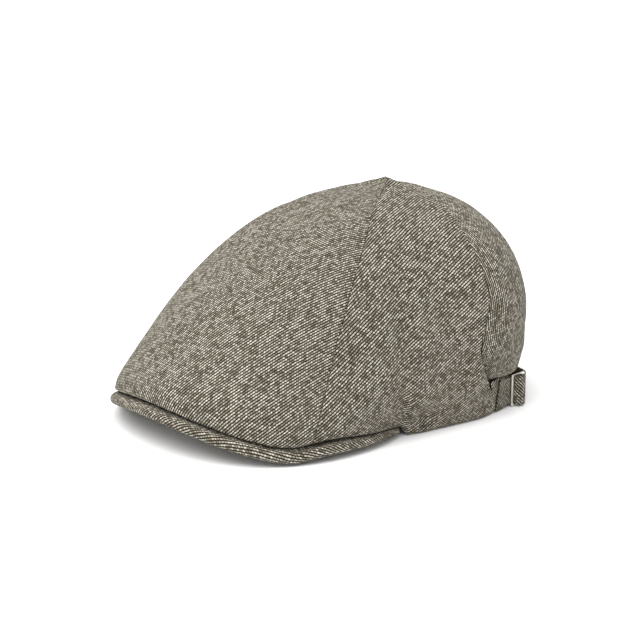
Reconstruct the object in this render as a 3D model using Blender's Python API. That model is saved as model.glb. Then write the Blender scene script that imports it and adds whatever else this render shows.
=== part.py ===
"""Tweed flat cap with a short duckbill peak and a rear strap drawn through a slide buckle.

Metres, +Z up. The cap stands on its hem at z = 0 and faces -Y, with the wearer's left at +X.
The crown is four cloth panels round one upright axis. Azimuths are degrees about that axis,
0 at the front and positive towards the wearer's left. The front panel is drawn down over the
peak, almost to its rim, and the back panel is gathered in behind the strap.
"""

import math

import bmesh
import bpy
import numpy as np

# Head opening: the outer face of the hem, an egg seen from above
HEAD_LENGTH = 0.200
HEAD_WIDTH = 0.166
HEAD_SQUARE = 2.1        # superellipse exponent, 2 is a plain ellipse
WIDEST_BEHIND = 0.015    # widest line of the egg, behind the middle of its length
HEAD_MIDDLE_Y = 0.0242   # middle of the egg's length in the part's frame

# Crown
CROWN_HEIGHT = 0.122
APEX_BEHIND = 0.026      # the panels meet this far behind the middle of the egg
WALL = 0.0024            # cloth and lining together
TUCK = 0.0014            # how far the lower fold of the cloth turns in
TUCK_HEIGHT = 0.0036
LIFT_FROM = math.radians(80)      # azimuth at which the hem leaves the floor
LIFT_OVER = math.radians(40)
BACK_LIFT = 0.0025       # the hem rises off the floor behind the ears
TEMPLE_FILL = 0.0125     # above the hem the cloth is stretched across the waist at the temple
TEMPLE_AZIMUTH = math.radians(54)
TEMPLE_REACH = math.radians(11)
TEMPLE_CLIMB = 0.26      # climb at which the waist is filled

# Peak
PEAK_REACH = 0.048       # rim in front of the egg
PEAK_WIDTH = 0.170
PEAK_SQUARE = 2.25
PEAK_WIDEST = 0.071      # widest line of the rim, in front of the egg's middle
PEAK_REST = 0.90         # share of the half width at which the arch has come down
PEAK_THICK = 0.0060
PEAK_ARCH = 0.0158       # the middle of the peak above its corners
SIDE_LIFT = 0.0034       # behind its corners the peak rises again
LIFT_START = math.radians(29)
LIFT_RUN = math.radians(12)
PEAK_GAP = 0.0011        # between the peak and the crown's lower edge
HORN_THICK = 0.0020      # what is left of the thickness at the ends of the peak
HORN_LIFT = 0.0008       # the ends of the peak rise off the floor
HORN_STEP = 0.0018       # the rim still stands this far out where the peak ends
HORN_CORNER = 0.66       # the peak's corner, as a share of the azimuth of its end
HORN_CLEAR = math.radians(0.5)
HORN_DROP = math.radians(5)     # the hem comes down to the floor behind the peak's end
PEAK_SEAM = 0.0030       # the peak's inner edge, inside the egg
RIM_LEDGE = 0.0016       # the crown's lower fold stops this far behind the rim
RIM_BLEND = 0.0025

# Seams
SEAM_GAP = 0.0004
VALLEY_DEPTH = 0.0018
VALLEY_WIDTH = 0.0075
VALLEY_SHAPE = 1.5       # 1 is a sharp crease, 2 a round one
VALLEY_START = 0.25      # climb by which the valley has its full depth
VALLEY_END = 0.05        # share of the climb, below the apex, over which it runs out
TIP_RADIUS = 0.0018      # the front panel stops this far from the crown's axis
FLAT_EDGE = 0.03         # below this climb the cloth's thickness is laid level

# Strap and buckle
STRAP_HEIGHT = 0.0178
STRAP_THICK = 0.0012
STRAP_INSET = 0.0003     # middle of the strap's thickness, inside the egg at its ends
STRAP_DRAW = 0.0024      # how far the strap draws in the back corners of the hem
TAIL_LENGTH = 0.0147     # free end of the strap beyond the buckle
TAIL_OUT = 0.0008        # its end, out from the buckle's plane
TAB_THICK = 0.0007
TAB_HEIGHT = 0.0186
TAB_SHOWS = 0.0006       # what shows of it beyond the free end of the strap
TAB_LEAN = 0.0052        # the tab starts along the slanting seam
LAYER_GAP = 0.00040
BUCKLE_AZIMUTH = 112.0
BUCKLE_STAND = 0.0035    # its centre, outside the egg
BUCKLE_TURN = 20.0       # degrees that it turns out of the hem's own direction
BUCKLE_HEIGHT = 0.0186
BUCKLE_BAR = 0.0018      # width of the outer bars
BUCKLE_RAIL = 0.0010     # width of the top and bottom rails
BUCKLE_THICK = 0.0010
BUCKLE_PITCH = 0.0048    # from bar to bar
BUCKLE_EDGE = 0.0002
LOOP_BULGE = 0.0006      # how far the strap's loop swells out over the bars
LOOP_HEIGHT = 0.0174     # it spreads over the rails there
STRAP_CENTRE_Z = 0.0098
SOFT_EDGE = 0.3          # share of a strap's thickness that its edges are eased by

# Mesh
SMALL_TURN = 0.02        # steps over which the crown's direction outwards is measured
SMALL_RISE = 0.01
FOLD_ROWS = (0.0, 0.006, 0.017, 0.036)    # climbs of the rows in the lower fold
LEAST_SHARE = 0.3        # columns nearer than this share of a step to a held one are left out
SHARP_ANGLE = math.radians(40)
PANEL_STEP = math.radians(6.0)
PANEL_ROWS = 13
TOP_ROW = 0.94           # climb of the last row but two
PEAK_STEPS = 36
RIM_STEPS = 6
STRAP_STEP = 0.0060
LEAST_STEPS = 3          # steps between two control points of a strap

# Level sections of the crown. height is a share of the crown's height above its lower edge.
# The others are shares of the lower edge's distance from the axis, every 45 degrees.
SECTION_ROWS = [
    # height  front  corner  side   back corner  back
    (0.00,    1.000, 1.000,  1.000, 1.000,       1.000),
    (0.12,    0.975, 0.985,  1.055, 0.990,       0.970),
    (0.28,    0.880, 0.930,  1.100, 1.015,       0.985),
    (0.48,    0.760, 0.850,  1.090, 1.030,       0.990),
    (0.68,    0.605, 0.730,  0.980, 0.940,       0.910),
    (0.84,    0.445, 0.560,  0.770, 0.730,       0.710),
    (0.95,    0.260, 0.340,  0.440, 0.420,       0.410),
    (1.00,    0.000, 0.000,  0.000, 0.000,       0.000),
]
SECTION_TURN = math.radians(45)

# Azimuths of the two seams of the left half, in degrees, from the lower edge to the apex
SEAM_ROWS = [
    # climb  front seam  back seam
    (0.00,   33.0,       98.0),
    (0.15,   34.0,       94.0),
    (0.25,   34.5,       87.0),
    (0.33,   35.0,       83.5),
    (0.40,   35.5,       85.0),
    (0.48,   36.5,       89.0),
    (0.60,   37.5,       90.0),
    (0.72,   38.5,       91.0),
    (0.81,   38.0,       96.0),
    (0.90,   37.0,       111.0),
    (1.00,   36.0,       128.0),
]

# Dents and swells: azimuth and reach in degrees, climb and rise as shares of the way up,
# depth as a share of DENT_DEPTH, negative where the cloth swells out
DENT_DEPTH = 0.0030
DENT_ROWS = [
    # azimuth  reach  climb  rise   depth
    (61.0,     5.0,   0.100, 0.045, 0.80),    # dimple over the left temple
    (59.0,     6.0,   0.000, 0.040, -0.50),   # swell of the hem behind the left horn
    (97.0,     8.0,   0.120, 0.080, 1.00),    # left hem drawn in by the tab
    (-97.0,    8.0,   0.120, 0.080, 1.00),    # right hem drawn in by the strap
    (-60.0,    6.0,   0.090, 0.050, 0.60),    # dimple over the right temple
    (-22.0,    9.0,   0.740, 0.100, -0.40),   # swell beside the right front seam
    (-70.0,    12.0,  0.880, 0.060, -0.50),   # swell of the crown's right top
    (165.0,    10.0,  0.880, 0.060, 0.40),    # flat behind the apex
]

# The back panel is gathered in behind the strap, puffs out above it and stands back
# from the side panels in a pocket beside each seam
RECESS_DEPTH = 0.0052
RECESS_CORNER = 0.0030   # more than that beside the seams, under the tab
RECESS_TOP = 0.168       # climb at the strap's upper edge
RECESS_FADE = 0.040
HOLLOW_DEPTH = 0.0010
HOLLOW_TOP = 0.44        # climb at which the gathers have run out
POCKET_DEPTH = 0.0050
POCKET_REACH = 12.0      # degrees behind the seam
POCKET_TOP = 0.25        # climb at which the pocket starts to close
POCKET_FADE = 0.10
GATHER_DEPTH = 0.0006
GATHERS = 9
BACK_SPARE = 0.0007      # the back panel's edges keep this much more clear of the seams
UNDERLAP = 0.0060        # in the pocket the back panel reaches in under the side panels
UNDERLAP_FULL = 0.27     # climb up to which it does so by all of that
UNDERLAP_TOP = 0.30      # climb above which the two panels stand edge to edge

# The long strap from the right seam round the back to the buckle
STRAP_ROWS = [
    # azimuth  share of STRAP_DRAW
    (-99.0,    0.00),
    (-112.0,   0.30),
    (-124.0,   0.80),
    (-137.0,   1.00),
    (-150.0,   0.90),
    (-165.0,   0.40),
    (180.0,    0.32),
    (165.0,    0.40),
    (150.0,    0.90),
    (137.0,    1.00),
    (126.0,    0.60),
]

TWEED = ((0.235, 0.209, 0.171, 1.0), 0.95, 0.0)
STRAP_TWEED = ((0.142, 0.127, 0.102, 1.0), 0.95, 0.0)
SATIN_STEEL = ((0.400, 0.385, 0.345, 1.0), 0.38, 1.0)


def clear_scene():
    """Remove every object, so that the file holds the cap alone."""
    for found in list(bpy.data.objects):
        bpy.data.objects.remove(found, do_unlink=True)


def material(name, look):
    """A plain Principled material from (colour, roughness, metallic)."""
    made = bpy.data.materials.new(name)
    made.use_nodes = True
    shader = made.node_tree.nodes["Principled BSDF"]
    colour, roughness, metallic = look
    shader.inputs["Base Color"].default_value = colour
    shader.inputs["Roughness"].default_value = roughness
    shader.inputs["Metallic"].default_value = metallic
    made.diffuse_color = colour
    return made


def add_object(name, mesh_data, finish):
    """Put a finished bmesh into the scene as one named object."""
    bmesh.ops.recalc_face_normals(mesh_data, faces=mesh_data.faces)
    mesh = bpy.data.meshes.new(name)
    mesh_data.to_mesh(mesh)
    mesh_data.free()
    made = bpy.data.objects.new(name, mesh)
    bpy.context.scene.collection.objects.link(made)
    mesh.materials.append(finish)
    mesh.shade_smooth()
    mesh.set_sharp_from_angle(angle=SHARP_ANGLE)
    return made


# Curves and outlines

def curve_between(before, start, end, after, share):
    """Catmull-Rom point between start and end."""
    return 0.5 * (
        2 * start
        + (end - before) * share
        + (2 * before - 5 * start + 4 * end - after) * share**2
        + (3 * start - before - 3 * end + after) * share**3
    )


def smooth_step(value):
    """Ease from 0 to 1."""
    held = np.clip(value, 0, 1)
    return held * held * (3 - 2 * held)


def smooth_max(first, second, blend):
    """The greater of two values, rounded where they cross."""
    return (first + second + np.sqrt((first - second) ** 2 + blend**2)) / 2


def section_at(climb):
    """Row of the section table at a share of the way up the cloth, 0 at the edge, 1 at the apex."""
    rows = np.array(SECTION_ROWS)
    below = 2 * rows[0] - rows[1]
    beyond = np.concatenate([rows[-2][:1], -rows[-2][1:]])
    rows = np.vstack([below, rows, beyond])
    steps = len(SECTION_ROWS) - 1
    place = np.clip(climb, 0, 1) * steps
    index = np.minimum(place.astype(int), steps - 1)
    share = (place - index)[..., None]
    return curve_between(rows[index], rows[index + 1], rows[index + 2], rows[index + 3], share)


def share_round(section, azimuth):
    """Share of the edge's distance at any azimuth, from the five columns of a section."""
    turn = np.abs((azimuth + np.pi) % (2 * np.pi) - np.pi) / SECTION_TURN
    index = np.minimum(turn.astype(int), 3)

    def column(number):
        """Value of a column, the same on both sides of the front and of the back."""
        folded = np.abs(np.where(number > 4, 8 - number, number))
        return np.take_along_axis(section, folded[..., None] + 1, -1)[..., 0]

    return curve_between(
        column(index - 1), column(index), column(index + 1), column(index + 2), turn - index
    )


def reach_of(azimuth, middle_y, half_width, half_length, exponent):
    """Distance from the crown's axis to a superellipse whose middle is at middle_y."""
    low = np.zeros_like(azimuth)
    high = np.full_like(azimuth, HEAD_LENGTH + PEAK_REACH)
    for _ in range(36):
        mid = (low + high) / 2
        across = mid * np.sin(azimuth)
        along = APEX_BEHIND - mid * np.cos(azimuth) - middle_y
        inside = np.abs(across / half_width) ** exponent + np.abs(along / half_length) ** exponent < 1
        low = np.where(inside, mid, low)
        high = np.where(inside, high, mid)
    return (low + high) / 2


def head_reach(azimuth):
    """Distance from the axis to the egg of the head opening."""
    front = reach_of(
        azimuth, WIDEST_BEHIND, HEAD_WIDTH / 2, HEAD_LENGTH / 2 + WIDEST_BEHIND, HEAD_SQUARE
    )
    back = reach_of(
        azimuth, WIDEST_BEHIND, HEAD_WIDTH / 2, HEAD_LENGTH / 2 - WIDEST_BEHIND, HEAD_SQUARE
    )
    return np.where(APEX_BEHIND - front * np.cos(azimuth) < WIDEST_BEHIND, front, back)


def rim_reach(azimuth):
    """Distance from the axis to the rim of the peak, at whose ends the egg takes over."""
    length = HEAD_LENGTH / 2 + PEAK_REACH - PEAK_WIDEST
    return reach_of(azimuth, -PEAK_WIDEST, PEAK_WIDTH / 2, length, PEAK_SQUARE)


def edge_reach(azimuth):
    """Distance from the axis to the crown's lower edge, before it turns in."""
    ahead = np.cos(azimuth) > 0
    over_peak = np.where(ahead, rim_reach(azimuth) - RIM_LEDGE, 0)
    return smooth_max(head_reach(azimuth), over_peak, RIM_BLEND)


def plan_x(azimuth, reach):
    """Place across the cap of a point at a distance from the axis."""
    return reach * np.sin(azimuth)


def plan_y(azimuth, reach):
    """Place along the cap of a point at a distance from the axis."""
    return HEAD_MIDDLE_Y + APEX_BEHIND - reach * np.cos(azimuth)


def horn_azimuth():
    """Azimuth at which the left end of the peak is cut off."""
    trial = np.linspace(math.radians(35), math.radians(75), 801)
    proud = rim_reach(trial) - head_reach(trial)
    return float(trial[np.argmax(proud < HORN_STEP)])


HORN_AZIMUTH = horn_azimuth()


def horn_share(azimuth):
    """How far towards the end of the peak: 0 at its corner, 1 at the end."""
    corner = HORN_AZIMUTH * HORN_CORNER
    return np.clip((np.abs(azimuth) - corner) / (HORN_AZIMUTH - corner), 0, 1)


def peak_under(azimuth, across):
    """Height of the peak's underside: arched over the brow, lowest at its corners."""
    arch = PEAK_ARCH * np.maximum(0, 1 - (np.abs(across) / (PEAK_REST * PEAK_WIDTH / 2)) ** 2)
    lift = SIDE_LIFT * smooth_step((np.abs(azimuth) - LIFT_START) / LIFT_RUN)
    share = horn_share(azimuth)
    return arch * (1 - smooth_step(share)) + lift + HORN_LIFT * share**2


def peak_thick(azimuth):
    """Thickness of the peak, which thins towards its ends."""
    return PEAK_THICK + (HORN_THICK - PEAK_THICK) * smooth_step(horn_share(azimuth))


def edge_height(azimuth, reach):
    """Height of the crown's lower edge: on the peak in front, then down to the floor."""
    turn = np.abs(azimuth)
    held = np.minimum(turn, HORN_AZIMUTH)
    across = plan_x(held, reach)
    on_peak = peak_under(held, across) + peak_thick(held) + PEAK_GAP
    share = 1 - smooth_step((turn - HORN_AZIMUTH - HORN_CLEAR) / HORN_DROP)
    lift = BACK_LIFT * smooth_step((turn - LIFT_FROM) / LIFT_OVER)
    return on_peak * share + lift


def seam_azimuth(climb, column):
    """Azimuth of a seam of the left half at a share of the way up."""
    rows = np.array(SEAM_ROWS)
    shares = rows[:, 0]
    padded = np.concatenate([[2 * rows[0] - rows[1]], rows, [2 * rows[-1] - rows[-2]]])
    index = np.clip(np.searchsorted(shares, climb, side="right") - 1, 0, len(rows) - 2)
    share = (climb - shares[index]) / (shares[index + 1] - shares[index])
    values = padded[:, column]
    degrees = curve_between(
        values[index], values[index + 1], values[index + 2], values[index + 3], share
    )
    return np.radians(degrees)


# Crown surface

def temple_fill(azimuth, climb):
    """How far the cloth is stretched out over the waist between the peak and the ear."""
    turn = np.abs((azimuth + np.pi) % (2 * np.pi) - np.pi)
    near = np.exp(-(((turn - TEMPLE_AZIMUTH) / TEMPLE_REACH) ** 2))
    return TEMPLE_FILL * near * smooth_step(climb / TEMPLE_CLIMB)


def bare_surface(azimuth, climb):
    """Point of the crown's outer face without seams, dents or the turned-in edge."""
    section = section_at(climb)
    edge = edge_reach(azimuth)
    reach = (edge + temple_fill(azimuth, climb)) * share_round(section, azimuth)
    low = edge_height(azimuth, edge)
    height = low + (CROWN_HEIGHT - low) * section[..., 0]
    return np.stack([plan_x(azimuth, reach), plan_y(azimuth, reach), height], -1)


def bare_normal(azimuth, climb):
    """Direction out of the crown at a point of its bare surface."""
    low = np.clip(climb - SMALL_RISE, 0, 1 - 2 * SMALL_RISE)
    level = low + SMALL_RISE
    round_way = bare_surface(azimuth + SMALL_TURN, level) - bare_surface(azimuth - SMALL_TURN, level)
    up_way = bare_surface(azimuth, level + SMALL_RISE) - bare_surface(azimuth, low)
    out = np.cross(round_way, up_way)
    return out / np.linalg.norm(out, axis=-1, keepdims=True)


def dent_depth(azimuth, climb):
    """How far the dents and swells push the cloth in."""
    total = np.zeros_like(climb)
    for place, reach, at, rise, depth in DENT_ROWS:
        turn = np.degrees((azimuth - math.radians(place) + np.pi) % (2 * np.pi) - np.pi) / reach
        total = total + DENT_DEPTH * depth * np.exp(-(turn**2) - ((climb - at) / rise) ** 2)
    return total


def valley_depth(azimuth, climb, reach):
    """How far the seams draw the cloth in."""
    total = np.zeros_like(climb)
    for column in (1, 2):
        for side in (-1, 1):
            seam = side * seam_azimuth(climb, column)
            off = (azimuth - seam + np.pi) % (2 * np.pi) - np.pi
            total = total + np.exp(-np.abs(off * reach / VALLEY_WIDTH) ** VALLEY_SHAPE)
    fade = smooth_step(climb / VALLEY_START) * smooth_step((1 - climb) / VALLEY_END)
    return VALLEY_DEPTH * np.minimum(total, 1) * fade


def recess_depth(azimuth, climb):
    """How far the back panel stands back: behind the strap, in the pockets and in its gathers."""
    turn = np.abs((azimuth + np.pi) % (2 * np.pi) - np.pi)
    behind = (turn - seam_azimuth(climb, 2)) / math.radians(POCKET_REACH)
    pocket = POCKET_DEPTH * np.exp(-(behind**2))
    drawn = RECESS_DEPTH + RECESS_CORNER * np.exp(-(behind**4))
    behind_strap = drawn * (1 - smooth_step((climb - RECESS_TOP) / RECESS_FADE))
    waves = GATHER_DEPTH * np.cos(GATHERS * 2 * (np.pi - turn)) * smooth_step(behind)
    hollow = (HOLLOW_DEPTH + waves) * (1 - smooth_step(climb / HOLLOW_TOP))
    above = hollow + pocket * (1 - smooth_step((climb - POCKET_TOP) / POCKET_FADE))
    return smooth_max(behind_strap, above, HOLLOW_DEPTH) - HOLLOW_DEPTH / 2


def tuck_depth(point, azimuth):
    """How far the lower fold of the cloth turns in, a quarter round."""
    low = edge_height(azimuth, edge_reach(azimuth))
    left = 1 - np.clip((point[..., 2] - low) / TUCK_HEIGHT, 0, 1)
    return TUCK * (1 - np.sqrt(1 - left**2))


def crown_faces(azimuth, climb, at_back):
    """Outer and inner points of the cloth over a grid of azimuths and climbs."""
    bare = bare_surface(azimuth, climb)
    out = bare_normal(azimuth, climb)
    reach = np.hypot(bare[..., 0], bare[..., 1] - HEAD_MIDDLE_Y - APEX_BEHIND)
    depth = dent_depth(azimuth, climb) + valley_depth(azimuth, climb, reach)
    if at_back:
        depth = depth + recess_depth(azimuth, climb)
    flat_out = out.copy()
    near_edge = 1 - smooth_step(climb / FLAT_EDGE)
    flat_out[..., 2] = flat_out[..., 2] * (1 - near_edge)
    tuck = tuck_depth(bare, azimuth)
    outer = bare - flat_out * (depth + tuck)[..., None]
    inner = bare - flat_out * (depth + WALL)[..., None]
    for face in (outer, inner):
        own_reach = np.hypot(face[..., 0], face[..., 1] - HEAD_MIDDLE_Y - APEX_BEHIND)
        face[..., 2] = np.maximum(face[..., 2], edge_height(azimuth, own_reach))
    return outer, inner


def climb_rows():
    """Shares of the way up for the rows of every panel, closer together in the lower fold."""
    low = np.linspace(FOLD_ROWS[-1], RECESS_TOP, 4)[1:]
    high = np.linspace(UNDERLAP_TOP, TOP_ROW, PANEL_ROWS)
    trial = np.linspace(TOP_ROW, 1, 200)
    reach = edge_reach(np.zeros(200)) * share_round(section_at(trial), np.zeros(200))
    tip = trial[np.argmax(reach < TIP_RADIUS)]
    low = np.append(low, RECESS_TOP + RECESS_FADE)
    return np.concatenate([FOLD_ROWS, low, [UNDERLAP_FULL], high, [(TOP_ROW + tip) / 2, tip]])


def underlap_at(climb):
    """How far the back panel reaches under the side panels at a share of the way up."""
    return UNDERLAP * np.clip((UNDERLAP_TOP - climb) / (UNDERLAP_TOP - UNDERLAP_FULL), 0, 1)


def panel_grid(start, end, at_back, stops):
    """Azimuths and climbs of a panel between two seams, clear of both by half the gap.

    stops are azimuths at which the lower edge needs a column of its own.
    """
    climbs = climb_rows()
    first = start(climbs)
    last = end(climbs)
    count = int(np.ceil(np.max(last - first) / PANEL_STEP)) + 1
    shares = np.linspace(0, 1, count)
    held = (np.array(stops) - first[0]) / (last[0] - first[0])
    clear = [share for share in shares if np.all(np.abs(held - share) > LEAST_SHARE / count)]
    across = np.sort(np.concatenate([clear, held]))
    azimuths = []
    for row, climb in enumerate(climbs):
        pair = np.array([first[row], last[row]])
        section = section_at(np.array([climb, climb]))
        reach = edge_reach(pair) * share_round(section, pair)
        clear_by = SEAM_GAP / 2
        if at_back:
            clear_by += BACK_SPARE - underlap_at(climb)
        inset = clear_by / reach
        azimuths.append(pair[0] + inset[0] + (pair[1] - inset[1] - pair[0] - inset[0]) * across)
    return np.array(azimuths), np.repeat(climbs[:, None], len(across), 1)


def slab_from_faces(outer, inner):
    """Closed slab between two matching grids of points."""
    slab = bmesh.new()
    rows, columns = outer.shape[:2]
    front = [[slab.verts.new(outer[r, c]) for c in range(columns)] for r in range(rows)]
    behind = [[slab.verts.new(inner[r, c]) for c in range(columns)] for r in range(rows)]
    for r in range(rows - 1):
        for c in range(columns - 1):
            slab.faces.new((front[r][c], front[r][c + 1], front[r + 1][c + 1], front[r + 1][c]))
            slab.faces.new((behind[r][c], behind[r + 1][c], behind[r + 1][c + 1], behind[r][c + 1]))
    border = [(0, c) for c in range(columns - 1)]
    border += [(r, columns - 1) for r in range(rows - 1)]
    border += [(rows - 1, c) for c in range(columns - 1, 0, -1)]
    border += [(r, 0) for r in range(rows - 1, 0, -1)]
    for (r, c), (s, d) in zip(border, border[1:] + border[:1]):
        slab.faces.new((front[r][c], behind[r][c], behind[s][d], front[s][d]))
    bmesh.ops.triangulate(slab, faces=slab.faces)
    return slab


def build_panel(name, start, end, finish, stops=(), at_back=False):
    """One cloth panel of the crown between two seams."""
    azimuths, climbs = panel_grid(start, end, at_back, stops)
    outer, inner = crown_faces(azimuths, climbs, at_back)
    return add_object(name, slab_from_faces(outer, inner), finish)


def build_crown(finish):
    """The four panels of the crown."""
    along = HORN_AZIMUTH * np.array([0.74, 0.82, 0.91])
    drop = HORN_AZIMUTH + HORN_CLEAR + HORN_DROP * np.array([0.0, 0.3, 0.7, 1.0])
    stops = np.concatenate([along, drop])
    build_panel(
        "front_panel",
        lambda climb: -seam_azimuth(climb, 1),
        lambda climb: seam_azimuth(climb, 1),
        finish,
    )
    build_panel(
        "side_panel_left",
        lambda climb: seam_azimuth(climb, 1),
        lambda climb: seam_azimuth(climb, 2),
        finish,
        stops=stops,
    )
    build_panel(
        "side_panel_right",
        lambda climb: -seam_azimuth(climb, 2),
        lambda climb: -seam_azimuth(climb, 1),
        finish,
        stops=-stops[::-1],
    )
    build_panel(
        "back_panel",
        lambda climb: seam_azimuth(climb, 2),
        lambda climb: 2 * np.pi - seam_azimuth(climb, 2),
        finish,
        at_back=True,
    )


# Peak

def build_peak(finish):
    """The covered peak: an arched crescent with a rounded rim."""
    azimuths = np.linspace(-HORN_AZIMUTH, HORN_AZIMUTH, PEAK_STEPS + 1)
    rim = rim_reach(azimuths)
    inner = head_reach(azimuths) - PEAK_SEAM
    thick = peak_thick(azimuths)
    bulge = np.radians(np.linspace(-90, 90, RIM_STEPS + 1))
    crescent = bmesh.new()
    rings = []
    for index, azimuth in enumerate(azimuths):
        half = thick[index] / 2
        straight = rim[index] - half
        middle = (inner[index] + straight) / 2
        low = [(inner[index], 0.0), (middle, 0.0)]
        outer = [(straight + half * math.cos(a), half + half * math.sin(a)) for a in bulge]
        high = [(middle, thick[index]), (inner[index], thick[index])]
        ring = []
        for reach, rise in low + outer + high:
            x = plan_x(azimuth, reach)
            under = peak_under(azimuth, x)
            ring.append(crescent.verts.new((x, plan_y(azimuth, reach), under + rise)))
        rings.append(ring)
    count = len(rings[0])
    for ring, following in zip(rings, rings[1:]):
        for c in range(count):
            d = (c + 1) % count
            crescent.faces.new((ring[c], ring[d], following[d], following[c]))
    crescent.faces.new(rings[0])
    crescent.faces.new(rings[-1])
    bmesh.ops.triangulate(crescent, faces=crescent.faces)
    return add_object("peak", crescent, finish)


# Strap and buckle

def hem_place(degrees, out):
    """Plan point outside the egg of the head opening, measured square to it."""
    azimuth = np.array([math.radians(degrees)])

    def point(at):
        """Plan point on the egg."""
        reach = head_reach(at)
        return np.array([plan_x(at, reach)[0], plan_y(at, reach)[0]])

    along = point(azimuth + SMALL_TURN) - point(azimuth - SMALL_TURN)
    square = np.array([along[1], -along[0]]) / np.hypot(*along)
    return point(azimuth) + square * out


def buckle_frame():
    """Centre of the buckle and the two plan directions along and out of the strap there."""
    centre = hem_place(BUCKLE_AZIMUTH, BUCKLE_STAND)
    ahead = hem_place(BUCKLE_AZIMUTH + 1, 0) - hem_place(BUCKLE_AZIMUTH - 1, 0)
    heading = math.atan2(ahead[1], ahead[0]) - math.radians(BUCKLE_TURN)
    along = np.array([math.cos(heading), math.sin(heading)])
    out = np.array([along[1], -along[0]])
    return centre, along, out


def smooth_path(controls, step):
    """Points of a curve through control points, at most a step apart."""
    rows = np.array(controls, float)
    rows = np.vstack([2 * rows[0] - rows[1], rows, 2 * rows[-1] - rows[-2]])
    points = [rows[1]]
    for index in range(len(controls) - 1):
        apart = np.hypot(*(rows[index + 2] - rows[index + 1])[:2])
        steps = max(LEAST_STEPS, math.ceil(apart / step))
        for share in np.linspace(0, 1, steps + 1)[1:]:
            points.append(curve_between(*rows[index:index + 4], share))
    return np.array(points)


def build_ribbon(name, path, thick, finish):
    """Flat strap on edge along a path of (x, y, height of the strap, lean of its upper edge)."""
    tangent = np.gradient(path[:, :2], axis=0)
    tangent = tangent / np.linalg.norm(tangent, axis=1)[:, None]
    side = np.stack([tangent[:, 1], -tangent[:, 0]], -1)
    soft = thick * SOFT_EDGE
    ribbon = bmesh.new()
    rings = []
    for (x, y, tall, lean), (tx, ty), (sx, sy) in zip(path, tangent, side):
        ring = []
        corners = [
            (-0.5 * thick, -0.5 * tall + soft),
            (-0.5 * thick + soft, -0.5 * tall),
            (0.5 * thick - soft, -0.5 * tall),
            (0.5 * thick, -0.5 * tall + soft),
            (0.5 * thick, 0.5 * tall - soft),
            (0.5 * thick - soft, 0.5 * tall),
            (-0.5 * thick + soft, 0.5 * tall),
            (-0.5 * thick, 0.5 * tall - soft),
        ]
        for out, rise in corners:
            ahead = lean * (rise / tall + 0.5)
            place = (x + sx * out + tx * ahead, y + sy * out + ty * ahead, STRAP_CENTRE_Z + rise)
            ring.append(ribbon.verts.new(place))
        rings.append(ring)
    for ring, following in zip(rings, rings[1:]):
        for c in range(8):
            d = (c + 1) % 8
            ribbon.faces.new((ring[c], ring[d], following[d], following[c]))
    ribbon.faces.new(rings[0])
    ribbon.faces.new(rings[-1])
    bmesh.ops.triangulate(ribbon, faces=ribbon.faces)
    return add_object(name, ribbon, finish)


def loop_sizes():
    """Radius of the tab's fold round the middle bar, and of the strap's fold over that."""
    bar = math.hypot(BUCKLE_THICK / 2, BUCKLE_THICK / 2 - BUCKLE_EDGE)
    tab = bar + LAYER_GAP + TAB_THICK / 2
    strap = tab + TAB_THICK / 2 + LAYER_GAP + STRAP_THICK / 2
    return tab, strap


def strap_controls():
    """Control points of the long strap: right seam, round the back, through the buckle, tail."""
    centre, along, out = buckle_frame()
    _, over = loop_sizes()
    under = BUCKLE_THICK / 2 + LAYER_GAP + STRAP_THICK / 2
    in_buckle = BUCKLE_HEIGHT - 2 * BUCKLE_RAIL - 2 * LAYER_GAP
    corner = BUCKLE_PITCH - BUCKLE_BAR / 2
    turn = math.sqrt(0.5)

    def near(by_along, by_out, tall, lean=0.0):
        """Control point measured from the buckle's centre."""
        place = centre + along * by_along + out * by_out
        return (place[0], place[1], tall, lean)

    points = []
    for index, (degrees, inward) in enumerate(STRAP_ROWS):
        place = hem_place(degrees, -inward * STRAP_DRAW - STRAP_INSET)
        lean = -TAB_LEAN if index == 0 else 0.0
        points.append((place[0], place[1], STRAP_HEIGHT, lean))
    points += [
        near(BUCKLE_PITCH * 2.17, -under - STRAP_THICK * 1.4, STRAP_HEIGHT),
        near(BUCKLE_PITCH * 1.67, -under - STRAP_THICK * 0.35, in_buckle),
        near(BUCKLE_PITCH * 1.17, -under - STRAP_THICK * 0.1, in_buckle),
        near(corner, -under, in_buckle),
        near(over + BUCKLE_EDGE, -BUCKLE_THICK / 2, in_buckle),
        near(over + BUCKLE_EDGE, BUCKLE_THICK, in_buckle),
        near(over + LOOP_BULGE * 0.6, over * turn, LOOP_HEIGHT),
        near((over + LOOP_BULGE) * turn, over + LOOP_BULGE, LOOP_HEIGHT),
        near(0.0, over + LOOP_BULGE * 1.5, LOOP_HEIGHT),
        near(-over * turn, over + LOOP_BULGE / 2, LOOP_HEIGHT),
        near(-over - BUCKLE_EDGE, BUCKLE_THICK, in_buckle),
        near(-over - BUCKLE_EDGE, -BUCKLE_THICK / 2, in_buckle),
        near(-corner, -under, in_buckle),
        near(-BUCKLE_PITCH * 1.73, -under + STRAP_THICK * 0.15, in_buckle),
        near(-BUCKLE_PITCH * 2.56, -under + STRAP_THICK * 0.6, STRAP_HEIGHT),
        near(-BUCKLE_PITCH - TAIL_LENGTH, TAIL_OUT, STRAP_HEIGHT, -TAB_LEAN),
    ]
    return points


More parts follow.
